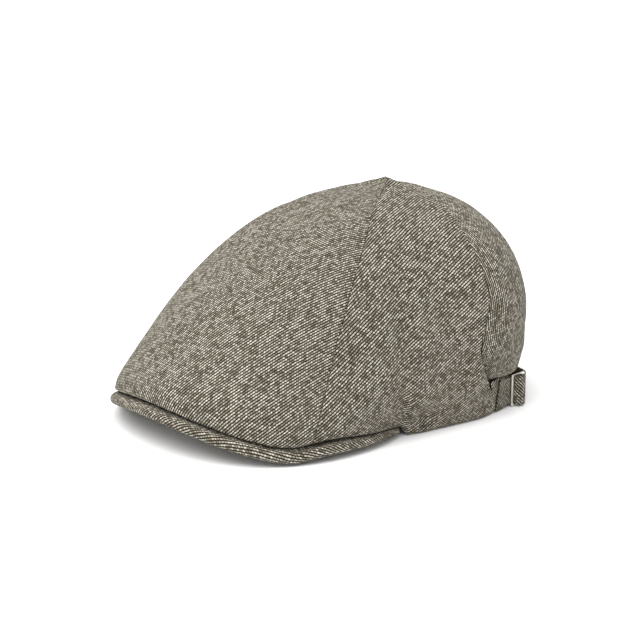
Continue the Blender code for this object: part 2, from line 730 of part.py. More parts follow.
def tab_controls():
    """Control points of the tab: left seam, under the tail, round the buckle's middle bar."""
    centre, along, out = buckle_frame()
    fold, _ = loop_sizes()
    drop = STRAP_THICK / 2 + LAYER_GAP + TAB_THICK / 2
    under = BUCKLE_THICK / 2 + LAYER_GAP + STRAP_THICK / 2 + drop
    in_buckle = BUCKLE_HEIGHT - 2 * BUCKLE_RAIL - 2 * LAYER_GAP
    turn = math.sqrt(0.5)
    spare = LAYER_GAP / 2
    end = BUCKLE_PITCH + TAIL_LENGTH
    rows = [
        # along, out, height of the tab, lean of its upper edge
        (-end - TAB_SHOWS, TAIL_OUT - drop - spare, TAB_HEIGHT, -TAB_LEAN),
        (-end + TAIL_LENGTH * 0.35, TAIL_OUT - drop - spare * 7, TAB_HEIGHT, 0.0),
        (-BUCKLE_PITCH * 1.75, -under + spare / 2, STRAP_HEIGHT, 0.0),
        (-BUCKLE_PITCH * 0.92, -under - spare, in_buckle, 0.0),
        (-fold * 1.5, -fold * 1.5, in_buckle, 0.0),
        (-fold, 0.0, in_buckle, 0.0),
        (-fold * turn, fold * turn, in_buckle, 0.0),
        (0.0, fold, in_buckle, 0.0),
        (fold * turn, fold * turn, in_buckle, 0.0),
        (fold, 0.0, in_buckle, 0.0),
        (fold * 0.85, -fold * 0.45, in_buckle, 0.0),
    ]
    points = []
    for by_along, by_out, tall, lean in rows:
        place = centre + along * by_along + out * by_out
        points.append((place[0], place[1], tall, lean))
    return points


def build_straps(finish):
    """The long strap and the tab that holds the buckle."""
    build_ribbon("strap_right", smooth_path(strap_controls(), STRAP_STEP), STRAP_THICK, finish)
    build_ribbon("strap_left", smooth_path(tab_controls(), STRAP_STEP), TAB_THICK, finish)


def build_buckle(finish):
    """Three-bar slide: a flat plate with two windows, edges eased."""
    centre, along, _ = buckle_frame()
    half_long = BUCKLE_PITCH + BUCKLE_BAR / 2
    half_bar = BUCKLE_THICK / 2
    stops_u = [-half_long, -half_long + BUCKLE_BAR, -half_bar, half_bar, half_long - BUCKLE_BAR, half_long]
    half_tall = BUCKLE_HEIGHT / 2
    stops_v = [-half_tall, -half_tall + BUCKLE_RAIL, half_tall - BUCKLE_RAIL, half_tall]
    plate = bmesh.new()
    grid = [[plate.verts.new((u, -BUCKLE_THICK / 2, v)) for u in stops_u] for v in stops_v]
    windows = {(1, 1), (1, 3)}
    for r in range(len(stops_v) - 1):
        for c in range(len(stops_u) - 1):
            if (r, c) not in windows:
                plate.faces.new((grid[r][c], grid[r][c + 1], grid[r + 1][c + 1], grid[r + 1][c]))
    grown = bmesh.ops.extrude_face_region(plate, geom=plate.faces[:])
    moved = [item for item in grown["geom"] if isinstance(item, bmesh.types.BMVert)]
    bmesh.ops.translate(plate, vec=(0, BUCKLE_THICK, 0), verts=moved)
    bmesh.ops.recalc_face_normals(plate, faces=plate.faces)
    sharp = [edge for edge in plate.edges if edge.calc_face_angle(0) > math.radians(60)]
    bmesh.ops.bevel(
        plate, geom=sharp, offset=BUCKLE_EDGE, segments=1, profile=0.5, affect="EDGES", material=-1
    )
    bmesh.ops.triangulate(plate, faces=plate.faces)
    buckle = add_object("buckle", plate, finish)
    buckle.location = (centre[0], centre[1], STRAP_CENTRE_Z)
    buckle.rotation_euler = (0, 0, math.atan2(along[1], along[0]))
    return buckle


def main():
    """Build the cap piece by piece."""
    clear_scene()
    tweed = material("tweed", TWEED)
    build_crown(tweed)
    build_peak(material("peak_tweed", TWEED))
    build_straps(material("strap_tweed", STRAP_TWEED))
    build_buckle(material("satin_steel", SATIN_STEEL))


main()
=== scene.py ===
"""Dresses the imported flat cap: tweed panels, peak, strap and tab, satin slide buckle, studio.

Metres, +Z up, the peak towards -Y and the wearer's left at +X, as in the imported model.
Azimuths run about the crown's upright axis, 0 at the front and positive to the wearer's left.
A climb is a share of the way up the cloth, 0 at the lower edge and 1 where the panels meet.
"""

import logging
import math
from collections.abc import Callable
from dataclasses import dataclass, field
from enum import Enum

import bmesh
import bpy
import numpy as np
from mathutils import Matrix, Vector, noise


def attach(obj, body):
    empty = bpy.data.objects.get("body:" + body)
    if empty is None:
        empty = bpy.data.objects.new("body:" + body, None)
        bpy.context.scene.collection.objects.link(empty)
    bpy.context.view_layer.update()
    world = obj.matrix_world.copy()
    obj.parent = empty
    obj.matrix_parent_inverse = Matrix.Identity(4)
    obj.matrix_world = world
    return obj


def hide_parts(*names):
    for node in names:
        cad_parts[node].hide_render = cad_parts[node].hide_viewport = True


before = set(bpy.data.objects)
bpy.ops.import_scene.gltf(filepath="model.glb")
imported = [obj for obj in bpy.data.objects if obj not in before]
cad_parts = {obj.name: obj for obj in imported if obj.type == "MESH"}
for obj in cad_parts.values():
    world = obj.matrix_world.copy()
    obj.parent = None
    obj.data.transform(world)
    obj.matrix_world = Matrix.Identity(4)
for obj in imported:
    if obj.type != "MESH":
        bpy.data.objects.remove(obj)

LOG = logging.getLogger("flat_cap")
# Steps of a search by halving, which leave far less than a micrometre
HALVINGS = 36
# Shares nearer to 0 or 1 than this count as the end itself
NEAR_END = 1e-4
# Just under 1, so that a rolled edge is never quite upright
ALMOST_ROUND = 0.98
# Turn between two columns of the section table
SECTION_TURN = math.radians(45)
ROOT = "root"
Grid = np.ndarray
Tree = bpy.types.NodeTree
Socket = bpy.types.NodeSocket
# Vertices of a closed piece nearer than this are one
SAME_PLACE = 1e-6
# Settings that several shader nodes share
PLANAR = {"noise_dimensions": "2D"}
TEXTURE = {"vector_type": "TEXTURE"}
COLOURED = {"data_type": "RGBA"}
WEIGHTED = {"operation": "MULTIPLY_ADD"}
ROUNDED = {"operation": "ROUND"}
FOLDED = {"operation": "PINGPONG"}


class Side(Enum):
    """Which side of the wearer a piece is on."""

    LEFT = 1
    RIGHT = -1


class Grain(Enum):
    """How far a panel's cloth is turned from its middle line, in degrees anticlockwise."""

    STRAIGHT = 0.0
    FRONT = 19.0
    LEFT = -30.0
    RIGHT = 30.0


# Curves

def curve_between(before: Grid, start: Grid, end: Grid, after: Grid, share: Grid) -> Grid:
    """Catmull-Rom value between start and end.

    Args:
        before: value ahead of the span.
        start: value at the span's start.
        end: value at its end.
        after: value beyond it.
        share: how far along the span.

    Returns:
        The value on the curve.
    """
    return 0.5 * (
        2 * start
        + (end - before) * share
        + (2 * before - 5 * start + 4 * end - after) * share**2
        + (3 * start - before - 3 * end + after) * share**3
    )


def ease(value: Grid) -> Grid:
    """Ease from 0 to 1."""
    held = np.clip(value, 0, 1)
    return held * held * (3 - 2 * held)


def soft_max(first: Grid, second: Grid, blend: float) -> Grid:
    """The greater of two values, rounded where they cross."""
    return (first + second + np.sqrt((first - second) ** 2 + blend**2)) / 2


def turn_of(azimuth: Grid) -> Grid:
    """An azimuth folded to -180 to 180 degrees, in radians."""
    return (azimuth + np.pi) % (2 * np.pi) - np.pi


def superellipse_reach(
    azimuth: Grid, apex_y: float, middle_y: float, half_width: float, half_length: float, square: float
) -> Grid:
    """Distance from the crown's axis to a superellipse.

    Args:
        azimuth: directions from the axis.
        apex_y: place of the axis along the cap.
        middle_y: place of the superellipse's middle.
        half_width: its half width, across the cap.
        half_length: its half length, along the cap.
        square: its exponent, 2 for a plain ellipse.

    Returns:
        The distances, found by halving.
    """
    low = np.zeros_like(azimuth)
    high = np.full_like(azimuth, 4 * half_length)
    for _ in range(HALVINGS):
        middle = (low + high) / 2
        across = np.abs(middle * np.sin(azimuth) / half_width)
        along = np.abs((apex_y - middle * np.cos(azimuth) - middle_y) / half_length)
        inside = across**square + along**square < 1
        low = np.where(inside, middle, low)
        high = np.where(inside, high, middle)
    return (low + high) / 2


# The cap's form, close to the solids and finer where the photo shows more

@dataclass(frozen=True)
class HeadOpening:
    """The egg of the head opening, outside the hem, seen from above."""

    length: float = 0.200
    width: float = 0.166
    square: float = 2.1
    widest_behind: float = 0.015
    middle_y: float = 0.0242
    apex_behind: float = 0.026

    def reach(self, azimuth: Grid) -> Grid:
        """Distance from the crown's axis to the egg."""
        lengths = (self.length / 2 + self.widest_behind, self.length / 2 - self.widest_behind)
        front, back = [
            superellipse_reach(
                azimuth, self.apex_behind, self.widest_behind, self.width / 2, length, self.square
            )
            for length in lengths
        ]
        ahead = self.apex_behind - front * np.cos(azimuth) < self.widest_behind
        return np.where(ahead, front, back)

    def plan(self, azimuth: Grid, reach: Grid) -> tuple[Grid, Grid]:
        """Place in plan of points at a distance from the crown's axis."""
        return reach * np.sin(azimuth), self.middle_y + self.apex_behind - reach * np.cos(azimuth)

    def hem_place(self, degrees: float, out: float) -> Grid:
        """Plan point a distance outside the egg, measured square to it."""
        azimuth = math.radians(degrees)
        beside = 0.01
        around = np.array([azimuth - beside, azimuth, azimuth + beside])
        points = np.stack(self.plan(around, self.reach(around)), -1)
        along = points[2] - points[0]
        square = np.array([along[1], -along[0]]) / np.hypot(*along)
        return points[1] + square * out


@dataclass(frozen=True)
class PeakForm:
    """Sizes of the peak: a crescent on the egg, arched over the brow."""

    head: HeadOpening
    reach_out: float = 0.048
    width: float = 0.170
    square: float = 2.25
    widest: float = 0.071
    rest: float = 0.90
    thick: float = 0.0060
    arch: float = 0.0158
    side_lift: float = 0.0034
    lift_start: float = math.radians(25.5)
    lift_run: float = math.radians(12)
    lift_end: float = math.radians(47)
    lift_fade: float = math.radians(11)
    gap: float = 0.0020
    end_close: float = 0.6
    end_thick: float = 0.0020
    end_lift: float = 0.0008
    end_step: float = 0.0018
    corner: float = 0.66
    seam: float = 0.0030
    drop_clear: float = math.radians(0.8)
    drop: float = math.radians(2.4)
    end_search: tuple[float, float] = (math.radians(35), math.radians(75))
    end_trials: int = 801

    def rim(self, azimuth: Grid) -> Grid:
        """Distance from the crown's axis to the rim."""
        half_length = self.head.length / 2 + self.reach_out - self.widest
        return superellipse_reach(
            azimuth, self.head.apex_behind, -self.widest, self.width / 2, half_length, self.square
        )

    def end(self) -> float:
        """Azimuth at which the left end of the peak is cut off."""
        trial = np.linspace(*self.end_search, self.end_trials)
        proud = self.rim(trial) - self.head.reach(trial)
        return float(trial[np.argmax(proud < self.end_step)])

    def end_share(self, azimuth: Grid) -> Grid:
        """How far towards the end of the peak: 0 at its corner, 1 at the end."""
        corner = self.end() * self.corner
        return np.clip((np.abs(azimuth) - corner) / (self.end() - corner), 0, 1)

    def under(self, azimuth: Grid, across: Grid) -> Grid:
        """Height of the underside at a place across the cap."""
        flat = np.abs(across) / (self.rest * self.width / 2)
        arched = self.arch * np.maximum(0, 1 - flat**2)
        share = self.end_share(azimuth)
        turn = np.abs(azimuth)
        lifted = self.side_lift * ease((turn - self.lift_start) / self.lift_run)
        lifted = lifted * (1 - ease((turn - self.lift_end) / self.lift_fade))
        return arched * (1 - ease(share)) + lifted + self.end_lift * share**2

    def thickness(self, azimuth: Grid) -> Grid:
        """Thickness of the peak, which thins towards its ends."""
        return self.thick + (self.end_thick - self.thick) * ease(self.end_share(azimuth))


@dataclass(frozen=True)
class Dent:
    """A soft dent in the cloth, or a swell where its depth is below 0."""

    azimuth: float
    reach: float
    climb: float
    rise: float
    depth: float

    def at(self, azimuth: Grid, climb: Grid) -> Grid:
        """Depth of the dent at points of the crown."""
        off = np.degrees(turn_of(azimuth - math.radians(self.azimuth))) / self.reach
        return self.depth * np.exp(-(off**2) - ((climb - self.climb) / self.rise) ** 2)


@dataclass(frozen=True)
class Crease:
    """A narrow fold of the cloth that runs from one place on the crown to another."""

    start: tuple[float, float]
    end: tuple[float, float]
    width: float
    depth: float

    def at(self, azimuth: Grid, climb: Grid) -> Grid:
        """Depth of the crease at points of the crown, fading out at its ends.

        Args:
            azimuth: azimuths of the points.
            climb: their climbs.

        Returns:
            Depths in metres, below 0 for a ridge.
        """
        # Degrees of azimuth that are as long as the whole climb
        per_climb = 110.0
        faded = 0.3
        x = np.degrees(turn_of(azimuth)) - self.start[0]
        y = (climb - self.start[1]) * per_climb
        run = np.array([self.end[0] - self.start[0], (self.end[1] - self.start[1]) * per_climb])
        length = np.hypot(*run)
        along = (x * run[0] + y * run[1]) / length**2
        aside = (x * run[1] - y * run[0]) / length
        fade = ease(along / faded) * ease((1 - along) / faded)
        return self.depth * fade * np.exp(-((aside / self.width) ** 2))


@dataclass(frozen=True)
class CrownForm:
    """Outer face of the crown and all that bends it."""

    head: HeadOpening
    peak: PeakForm
    height: float = 0.1228
    wall: float = 0.0021
    tuck: float = 0.0034
    tuck_height: float = 0.0072
    back_lift: float = 0.0025
    lift_from: float = math.radians(92)
    lift_over: float = math.radians(30)
    temple_fill: float = 0.0125
    temple_azimuth: float = math.radians(54)
    temple_reach: float = math.radians(11)
    temple_climb: float = 0.26
    rim_ledge: float = 0.0016
    rim_blend: float = 0.0025
    seam_gap: float = 0.00014
    valley_depth: float = 0.0016
    valley_width: float = 0.0070
    valley_power: float = 1.5
    roll: float = 0.0006
    roll_width: float = 0.0016
    pucker_depth: float = 0.00022
    pucker_pitch: float = 0.0085
    pucker_reach: float = 0.0050
    pucker_shift: float = 1.7
    climb_length: float = 0.19
    seam_fades: tuple[float, float] = (0.25, 0.05)
    pucker_fades: tuple[float, float] = (0.05, 0.12)
    recess_depth: float = 0.0052
    recess_corner: float = 0.0030
    recess_top: float = 0.161
    recess_fade: float = 0.020
    hollow_depth: float = 0.0010
    hollow_top: float = 0.44
    pocket_depth: float = 0.0050
    pocket_reach: float = math.radians(12)
    pocket_top: float = 0.25
    pocket_fade: float = 0.10
    back_spare: float = 0.0007
    tip_spare: float = 0.0004
    tip_from: float = 0.975
    spare_top: float = 0.40
    spare_fade: float = 0.07
    underlap: float = 0.0060
    underlap_full: float = 0.27
    underlap_top: float = 0.30
    gather_depth: float = 0.0006
    gathers: float = 9.0
    tip_radius: float = 0.0007
    level_climb: float = 0.03
    # Level sections: share of the height, then of the lower edge's reach every 45 degrees
    sections: tuple[tuple[float, ...], ...] = (
        (0.00, 1.000, 1.000, 1.000, 1.000, 1.000),
        (0.12, 0.975, 0.985, 1.055, 0.990, 0.970),
        (0.28, 0.880, 0.930, 1.100, 1.015, 0.985),
        (0.48, 0.760, 0.850, 1.090, 1.030, 0.990),
        (0.68, 0.605, 0.730, 0.980, 0.940, 0.910),
        (0.84, 0.445, 0.560, 0.770, 0.730, 0.710),
        (0.95, 0.260, 0.340, 0.440, 0.420, 0.410),
        (1.00, 0.000, 0.000, 0.000, 0.000, 0.000),
    )
    # Seams of the left half: climb, azimuth of the front seam, azimuth of the back seam
    seams: tuple[tuple[float, ...], ...] = (
        (0.00, 33.0, 98.0),
        (0.15, 34.0, 94.0),
        (0.25, 34.5, 87.0),
        (0.33, 35.0, 83.5),
        (0.40, 35.5, 85.0),
        (0.48, 36.5, 89.0),
        (0.60, 37.5, 90.0),
        (0.72, 38.5, 91.0),
        (0.81, 38.0, 96.0),
        (0.90, 37.0, 111.0),
        (1.00, 36.0, 128.0),
    )
    dents: tuple[Dent, ...] = (
        Dent(61.0, 5.0, 0.100, 0.045, 0.0024),
        Dent(59.0, 6.0, 0.000, 0.040, -0.0015),
        Dent(97.0, 8.0, 0.120, 0.080, 0.0030),
        Dent(-97.0, 8.0, 0.120, 0.080, 0.0030),
        Dent(-60.0, 6.0, 0.090, 0.050, 0.0018),
        Dent(-22.0, 9.0, 0.740, 0.100, -0.0012),
        Dent(0.0, 400.0, 1.000, 0.040, -0.0024),
        Dent(-68.0, 22.0, 0.955, 0.025, -0.0015),
        Dent(-108.0, 45.0, 0.978, 0.020, -0.0014),
        Dent(90.0, 8.0, 0.000, 0.045, -0.0013),
        Dent(-34.0, 28.0, 0.150, 0.090, 0.0022),
        Dent(-34.0, 28.0, 0.000, 0.030, -0.0012),
        Dent(138.0, 20.0, 0.260, 0.070, -0.0022),
        Dent(165.0, 10.0, 0.880, 0.060, 0.0012),
    )
    creases: tuple[Crease, ...] = (
        Crease((82.0, 0.36), (70.0, 0.24), 2.2, 0.0010),
        Crease((84.0, 0.34), (77.0, 0.16), 1.8, 0.0009),
        Crease((-82.0, 0.36), (-71.0, 0.25), 2.2, 0.0009),
        Crease((-84.0, 0.33), (-78.0, 0.16), 1.8, 0.0009),
        Crease((85.5, 0.30), (94.5, 0.10), 2.6, 0.0030),
        Crease((62.0, 0.02), (64.0, 0.20), 2.0, 0.0008),
        Crease((57.0, 0.03), (57.0, 0.16), 1.6, -0.0005),
    )

    def section_at(self, climb: Grid) -> Grid:
        """Row of the section table at each climb."""
        rows = np.array(self.sections)
        below = 2 * rows[0] - rows[1]
        beyond = np.concatenate([rows[-2][:1], -rows[-2][1:]])
        rows = np.vstack([below, rows, beyond])
        steps = len(self.sections) - 1
        place = np.clip(climb, 0, 1) * steps
        index = np.minimum(place.astype(int), steps - 1)
        share = (place - index)[..., None]
        return curve_between(rows[index], rows[index + 1], rows[index + 2], rows[index + 3], share)

    def share_round(self, section: Grid, azimuth: Grid) -> Grid:
        """Share of the edge's reach at each azimuth, from the five columns of a section."""
        turn = np.abs(turn_of(azimuth)) / SECTION_TURN
        index = np.minimum(turn.astype(int), 3)

        def column(number: Grid) -> Grid:
            """Value of a column, mirrored at the front and at the back."""
            folded = np.abs(np.where(number > 4, 8 - number, number))
            return np.take_along_axis(section, folded[..., None] + 1, -1)[..., 0]

        return curve_between(
            column(index - 1), column(index), column(index + 1), column(index + 2), turn - index
        )

    def edge_reach(self, azimuth: Grid) -> Grid:
        """Distance from the axis to the crown's lower edge."""
        over_peak = np.where(np.cos(azimuth) > 0, self.peak.rim(azimuth) - self.rim_ledge, 0)
        return soft_max(self.head.reach(azimuth), over_peak, self.rim_blend)

    def edge_height(self, azimuth: Grid, reach: Grid) -> Grid:
        """Height of the lower edge: on the peak in front, then down to the floor."""
        turn = np.abs(turn_of(azimuth))
        end = self.peak.end()
        held = np.minimum(turn, end)
        across = reach * np.sin(held)
        gap = self.peak.gap * (1 - self.peak.end_close * ease(self.peak.end_share(held)))
        on_peak = self.peak.under(held, across) + self.peak.thickness(held) + gap
        share = 1 - ease((turn - end - self.peak.drop_clear) / self.peak.drop)
        lift = self.back_lift * ease((turn - self.lift_from) / self.lift_over)
        return on_peak * share + lift

    def seam(self, climb: Grid, column: int) -> Grid:
        """Azimuth of a seam of the left half, 1 the front one and 2 the back one."""
        rows = np.array(self.seams)
        padded = np.concatenate([[2 * rows[0] - rows[1]], rows, [2 * rows[-1] - rows[-2]]])
        index = np.clip(np.searchsorted(rows[:, 0], climb, side="right") - 1, 0, len(rows) - 2)
        span = rows[index + 1, 0] - rows[index, 0]
        share = (climb - rows[index, 0]) / span
        values = padded[:, column]
        degrees = curve_between(
            values[index], values[index + 1], values[index + 2], values[index + 3], share
        )
        return np.radians(degrees)

    def bare(self, azimuth: Grid, climb: Grid) -> Grid:
        """Points of the outer face without seams, dents or folds."""
        section = self.section_at(climb)
        edge = self.edge_reach(azimuth)
        near = np.exp(-(((np.abs(turn_of(azimuth)) - self.temple_azimuth) / self.temple_reach) ** 2))
        fill = self.temple_fill * near * ease(climb / self.temple_climb)
        reach = (edge + fill) * self.share_round(section, azimuth)
        low = self.edge_height(azimuth, edge)
        height = low + (self.height - low) * section[..., 0]
        x, y = self.head.plan(azimuth, reach)
        return np.stack([x, y, height], -1)

    def normal(self, azimuth: Grid, climb: Grid) -> Grid:
        """Direction out of the crown at points of its bare face."""
        turn = 0.02
        rise = 0.01
        low = np.clip(climb - rise, 0, 1 - 2 * rise)
        across = self.bare(azimuth + turn, low + rise) - self.bare(azimuth - turn, low + rise)
        up = self.bare(azimuth, low + 2 * rise) - self.bare(azimuth, low)
        out = np.cross(across, up)
        return out / np.linalg.norm(out, axis=-1, keepdims=True)

    def edge_inset(self, climb: Grid, at_back: bool) -> Grid:
        """How far a panel's edge keeps clear of its seam, below 0 where it reaches in beneath."""
        if not at_back:
            return np.full_like(climb, self.seam_gap / 2)
        share = (self.underlap_top - climb) / (self.underlap_top - self.underlap_full)
        under = self.underlap * np.clip(share, 0, 1)
        spare = self.back_spare * ease((self.spare_top - climb) / self.spare_fade)
        at_tip = self.tip_spare * ease((climb - self.tip_from) / (1 - self.tip_from))
        return self.seam_gap / 2 + spare + at_tip - under

    def valley(self, azimuth: Grid, climb: Grid, reach: Grid) -> Grid:
        """How far the seams draw the cloth in, with the small puckers beside them."""
        total = np.zeros_like(climb)
        puckers = np.zeros_like(climb)
        for column in (1, 2):
            for side in Side:
                off = turn_of(azimuth - side.value * self.seam(climb, column)) * reach
                total = total + np.exp(-np.abs(off / self.valley_width) ** self.valley_power)
                near = np.exp(-np.abs(off / self.pucker_reach))
                shift = self.pucker_shift * column * side.value
                wave = np.cos(2 * np.pi * climb * self.climb_length / self.pucker_pitch + shift)
                puckers = puckers + near * wave
        low, high = self.seam_fades
        fade = ease(climb / low) * ease((1 - climb) / high)
        low, high = self.pucker_fades
        lumps = self.pucker_depth * puckers * ease(climb / low) * ease((1 - climb) / high)
        return self.valley_depth * np.minimum(total, 1) * fade + lumps

    def recess(self, azimuth: Grid, climb: Grid) -> Grid:
        """How far the back panel stands back: behind the strap, in pockets and gathers."""
        turn = np.abs(turn_of(azimuth))
        behind = (turn - self.seam(climb, 2)) / self.pocket_reach
        pocket = self.pocket_depth * np.exp(-(behind**2))
        drawn = self.recess_depth + self.recess_corner * np.exp(-(behind**4))
        behind_strap = drawn * (1 - ease((climb - self.recess_top) / self.recess_fade))
        waves = self.gather_depth * np.cos(self.gathers * 2 * (np.pi - turn)) * ease(behind)
        hollow = (self.hollow_depth + waves) * (1 - ease(climb / self.hollow_top))
        above = hollow + pocket * (1 - ease((climb - self.pocket_top) / self.pocket_fade))
        return soft_max(behind_strap, above, self.hollow_depth) - self.hollow_depth / 2

    def cloth(self, azimuth: Grid, climb: Grid, to_seam: Grid, at_back: bool) -> Grid:
        """Points of the outer face with seams, dents, folds and the rolled edges.

        Args:
            azimuth: azimuths of the points.
            climb: their climbs.
            to_seam: distance from each point to the nearer side of its panel.
            at_back: True for the back panel, which is gathered in.

        Returns:
            The points.
        """
        bare = self.bare(azimuth, climb)
        out = self.normal(azimuth, climb)
        apex_y = self.head.middle_y + self.head.apex_behind
        reach = np.hypot(bare[..., 0], bare[..., 1] - apex_y)
        depth = self.valley(azimuth, climb, reach)
        for bend in self.dents + self.creases:
            depth = depth + bend.at(azimuth, climb)
        if at_back:
            depth = depth + self.recess(azimuth, climb)
        left = 1 - np.clip(to_seam / self.roll_width, 0, 1)
        depth = depth + self.roll * (1 - np.sqrt(1 - ALMOST_ROUND * left**2))
        low = self.edge_height(azimuth, self.edge_reach(azimuth))
        below = 1 - np.clip((bare[..., 2] - low) / self.tuck_height, 0, 1)
        depth = depth + self.tuck * (1 - np.sqrt(1 - ALMOST_ROUND * below**2))
        # At the lower edge the cloth moves level, so the hem stays at its height
        level = 1 - ease(climb / self.level_climb)
        out[..., 2] = out[..., 2] * (1 - level)
        points = bare - out * depth[..., None]
        own = np.hypot(points[..., 0], points[..., 1] - apex_y)
        points[..., 2] = np.maximum(points[..., 2], self.edge_height(azimuth, own))
        return points


# Finishes

def linear(code: str) -> tuple[float, float, float, float]:
    """Linear colour from an sRGB hex code.

    Args:
        code: six hex digits after a hash sign.

    Returns:
        Red, green, blue and an alpha of 1.
    """
    parts = [int(code[start:start + 2], 16) / 255 for start in (1, 3, 5)]
    red, green, blue = [p / 12.92 if p <= 0.04045 else ((p + 0.055) / 1.055) ** 2.4 for p in parts]
    return red, green, blue, 1.0


def feed(node: bpy.types.Node, links: dict[int | str, object]) -> None:
    """Give a node its inputs: an output socket is linked, and any other value is set."""
    for socket, value in links.items():
        if isinstance(value, Socket):
            node.id_data.links.new(value, node.inputs[socket])
        else:
            node.inputs[socket].default_value = value


def add_node(
    tree: Tree,
    kind: str,
    settings: dict[str, object] | None = None,
    links: dict[int | str, object] | None = None,
) -> bpy.types.Node:
    """Add a shader node with its settings and its inputs.

    Args:
        tree: the node tree.
        kind: the node's type.
        settings: attributes of the node and their values.
        links: for each input, an output socket to link or a value to set.

    Returns:
        The node.
    """
    node = tree.nodes.new(kind)
    for name, value in (settings or {}).items():
        setattr(node, name, value)
    feed(node, links or {})
    return node


def new_finish(name: str) -> tuple[bpy.types.Material, Tree, bpy.types.Node]:
    """A new material, its node tree and its shader."""
    made = bpy.data.materials.new(name)
    made.use_nodes = True
    return made, made.node_tree, made.node_tree.nodes["Principled BSDF"]


@dataclass(frozen=True)
class TwillTweed:
    """Woollen tweed in a twill weave: cream and brown yarn on dark brown, brushed to a nap.

    Short light stitches lie in slanting rows over a dark ground. The yarn is uneven in
    thickness and shade, which gives the eye streaks and a salt-and-pepper mottle, and the
    nap makes the cloth paler where it turns away.
    """

    name: str
    wale: float = 0.00146
    stitch: float = 0.00160
    step: float = 0.38
    slant: float = 47.0
    row_share: float = 0.31
    stitch_share: float = 0.54
    cream: str = "#cfc9bc"
    fawn: str = "#958e7f"
    fawn_place: float = 0.40
    dim: str = "#665e51"
    ground: str = "#17130d"
    ground_light: str = "#292419"
    relief: float = 0.00025
    relief_strength: float = 0.8
    roughness: float = 0.95
    specular: float = 0.15
    nap: float = 0.03
    nap_roughness: float = 0.5
    nap_tint: str = "#e8e2d6"
    waver: float = 0.0005
    waver_size: float = 0.006
    fibre_size: float = 0.0007
    fray: float = 0.9
    fuzz: float = 0.35
    yarn_edge: tuple[float, float] = (0.85, 1.75)
    streak_size: tuple[float, float] = (0.009, 0.0018)
    streak_slant: float = -14.0
    streak_weight: float = 0.45
    blotch_size: float = 0.0045
    blotch_weight: float = 0.40
    shade_range: tuple[float, float] = (0.35, 1.40)

    def build(self) -> bpy.types.Material:
        """Make the material.

        Returns:
            The cloth, patterned along the UV map, whose unit is a metre.
        """
        made, tree, shader = new_finish(self.name)
        place = add_node(tree, "ShaderNodeTexCoord").outputs["UV"]
        stitch, cell = self.stitches(tree, place)
        by_fibre = {"Vector": place, "Scale": 1 / self.fibre_size}
        fibres = add_node(tree, "ShaderNodeTexNoise", PLANAR, by_fibre).outputs["Fac"]
        # Loose fibres make the edge of every stitch ragged
        ragged = add_node(tree, "ShaderNodeMath", WEIGHTED, {0: fibres, 1: self.fray, 2: stitch})
        low, high = self.yarn_edge
        edge = {"Value": ragged.outputs[0], "From Min": low, "From Max": high, "To Min": 1.0, "To Max": 0.0}
        smooth = {"interpolation_type": "SMOOTHSTEP"}
        yarn_share = add_node(tree, "ShaderNodeMapRange", smooth, edge).outputs["Result"]
        yarn, ground = self.shades(tree, place, cell)
        colour = add_node(tree, "ShaderNodeMix", COLOURED, {0: yarn_share, 6: ground, 7: yarn})
        height = add_node(tree, "ShaderNodeMath", WEIGHTED, {0: fibres, 1: self.fuzz, 2: yarn_share})
        raised = {"Height": height.outputs[0], "Strength": self.relief_strength, "Distance": self.relief}
        inputs = {
            "Base Color": colour.outputs[2],
            "Normal": add_node(tree, "ShaderNodeBump", {}, raised).outputs[0],
            "Roughness": self.roughness,
            "Specular IOR Level": self.specular,
            "Sheen Weight": self.nap,
            "Sheen Roughness": self.nap_roughness,
            "Sheen Tint": linear(self.nap_tint),
        }
        feed(shader, inputs)
        return made

    def stitches(self, tree: Tree, place: Socket) -> tuple[Socket, Socket]:
        """Lay the stitches of the twill.

        Args:
            tree: the material's nodes.
            place: place on the cloth, in metres.

        Returns:
            The distance from the middle of a stitch, 1 at its edge, and the stitch's own key.
        """
        # The rows waver by a fraction of their spacing, as soft yarn does
        by_waver = {"Vector": place, "Scale": 1 / self.waver_size}
        waver = add_node(tree, "ShaderNodeTexNoise", PLANAR, by_waver).outputs["Color"]
        sway = {0: waver, 1: (self.waver, self.waver, 0.0), 2: place}
        shifted = add_node(tree, "ShaderNodeVectorMath", WEIGHTED, sway)
        slanted = {
            "Vector": shifted.outputs[0],
            "Rotation": (0.0, 0.0, math.radians(self.slant)),
            "Scale": (self.stitch, self.wale, 1.0),
        }
        turned = add_node(tree, "ShaderNodeMapping", TEXTURE, slanted)
        split = add_node(tree, "ShaderNodeSeparateXYZ", {}, {0: turned.outputs[0]})
        across = split.outputs["Y"]
        row = add_node(tree, "ShaderNodeMath", ROUNDED, {0: across}).outputs[0]
        stepped = {0: row, 1: self.step, 2: split.outputs["X"]}
        along = add_node(tree, "ShaderNodeMath", WEIGHTED, stepped).outputs[0]
        number = add_node(tree, "ShaderNodeMath", ROUNDED, {0: along}).outputs[0]
        off_row = add_node(tree, "ShaderNodeMath", FOLDED, {0: across, 1: 0.5}).outputs[0]
        off_stitch = add_node(tree, "ShaderNodeMath", FOLDED, {0: along, 1: 0.5}).outputs[0]
        off = add_node(tree, "ShaderNodeCombineXYZ", {}, {0: off_row, 1: off_stitch}).outputs[0]
        by_size = {0: off, 1: (self.row_share, self.stitch_share, 1.0)}
        scaled = add_node(tree, "ShaderNodeVectorMath", {"operation": "DIVIDE"}, by_size)
        length = add_node(tree, "ShaderNodeVectorMath", {"operation": "LENGTH"}, {0: scaled.outputs[0]})
        key = add_node(tree, "ShaderNodeCombineXYZ", {}, {0: number, 1: row})
        return length.outputs["Value"], key.outputs[0]

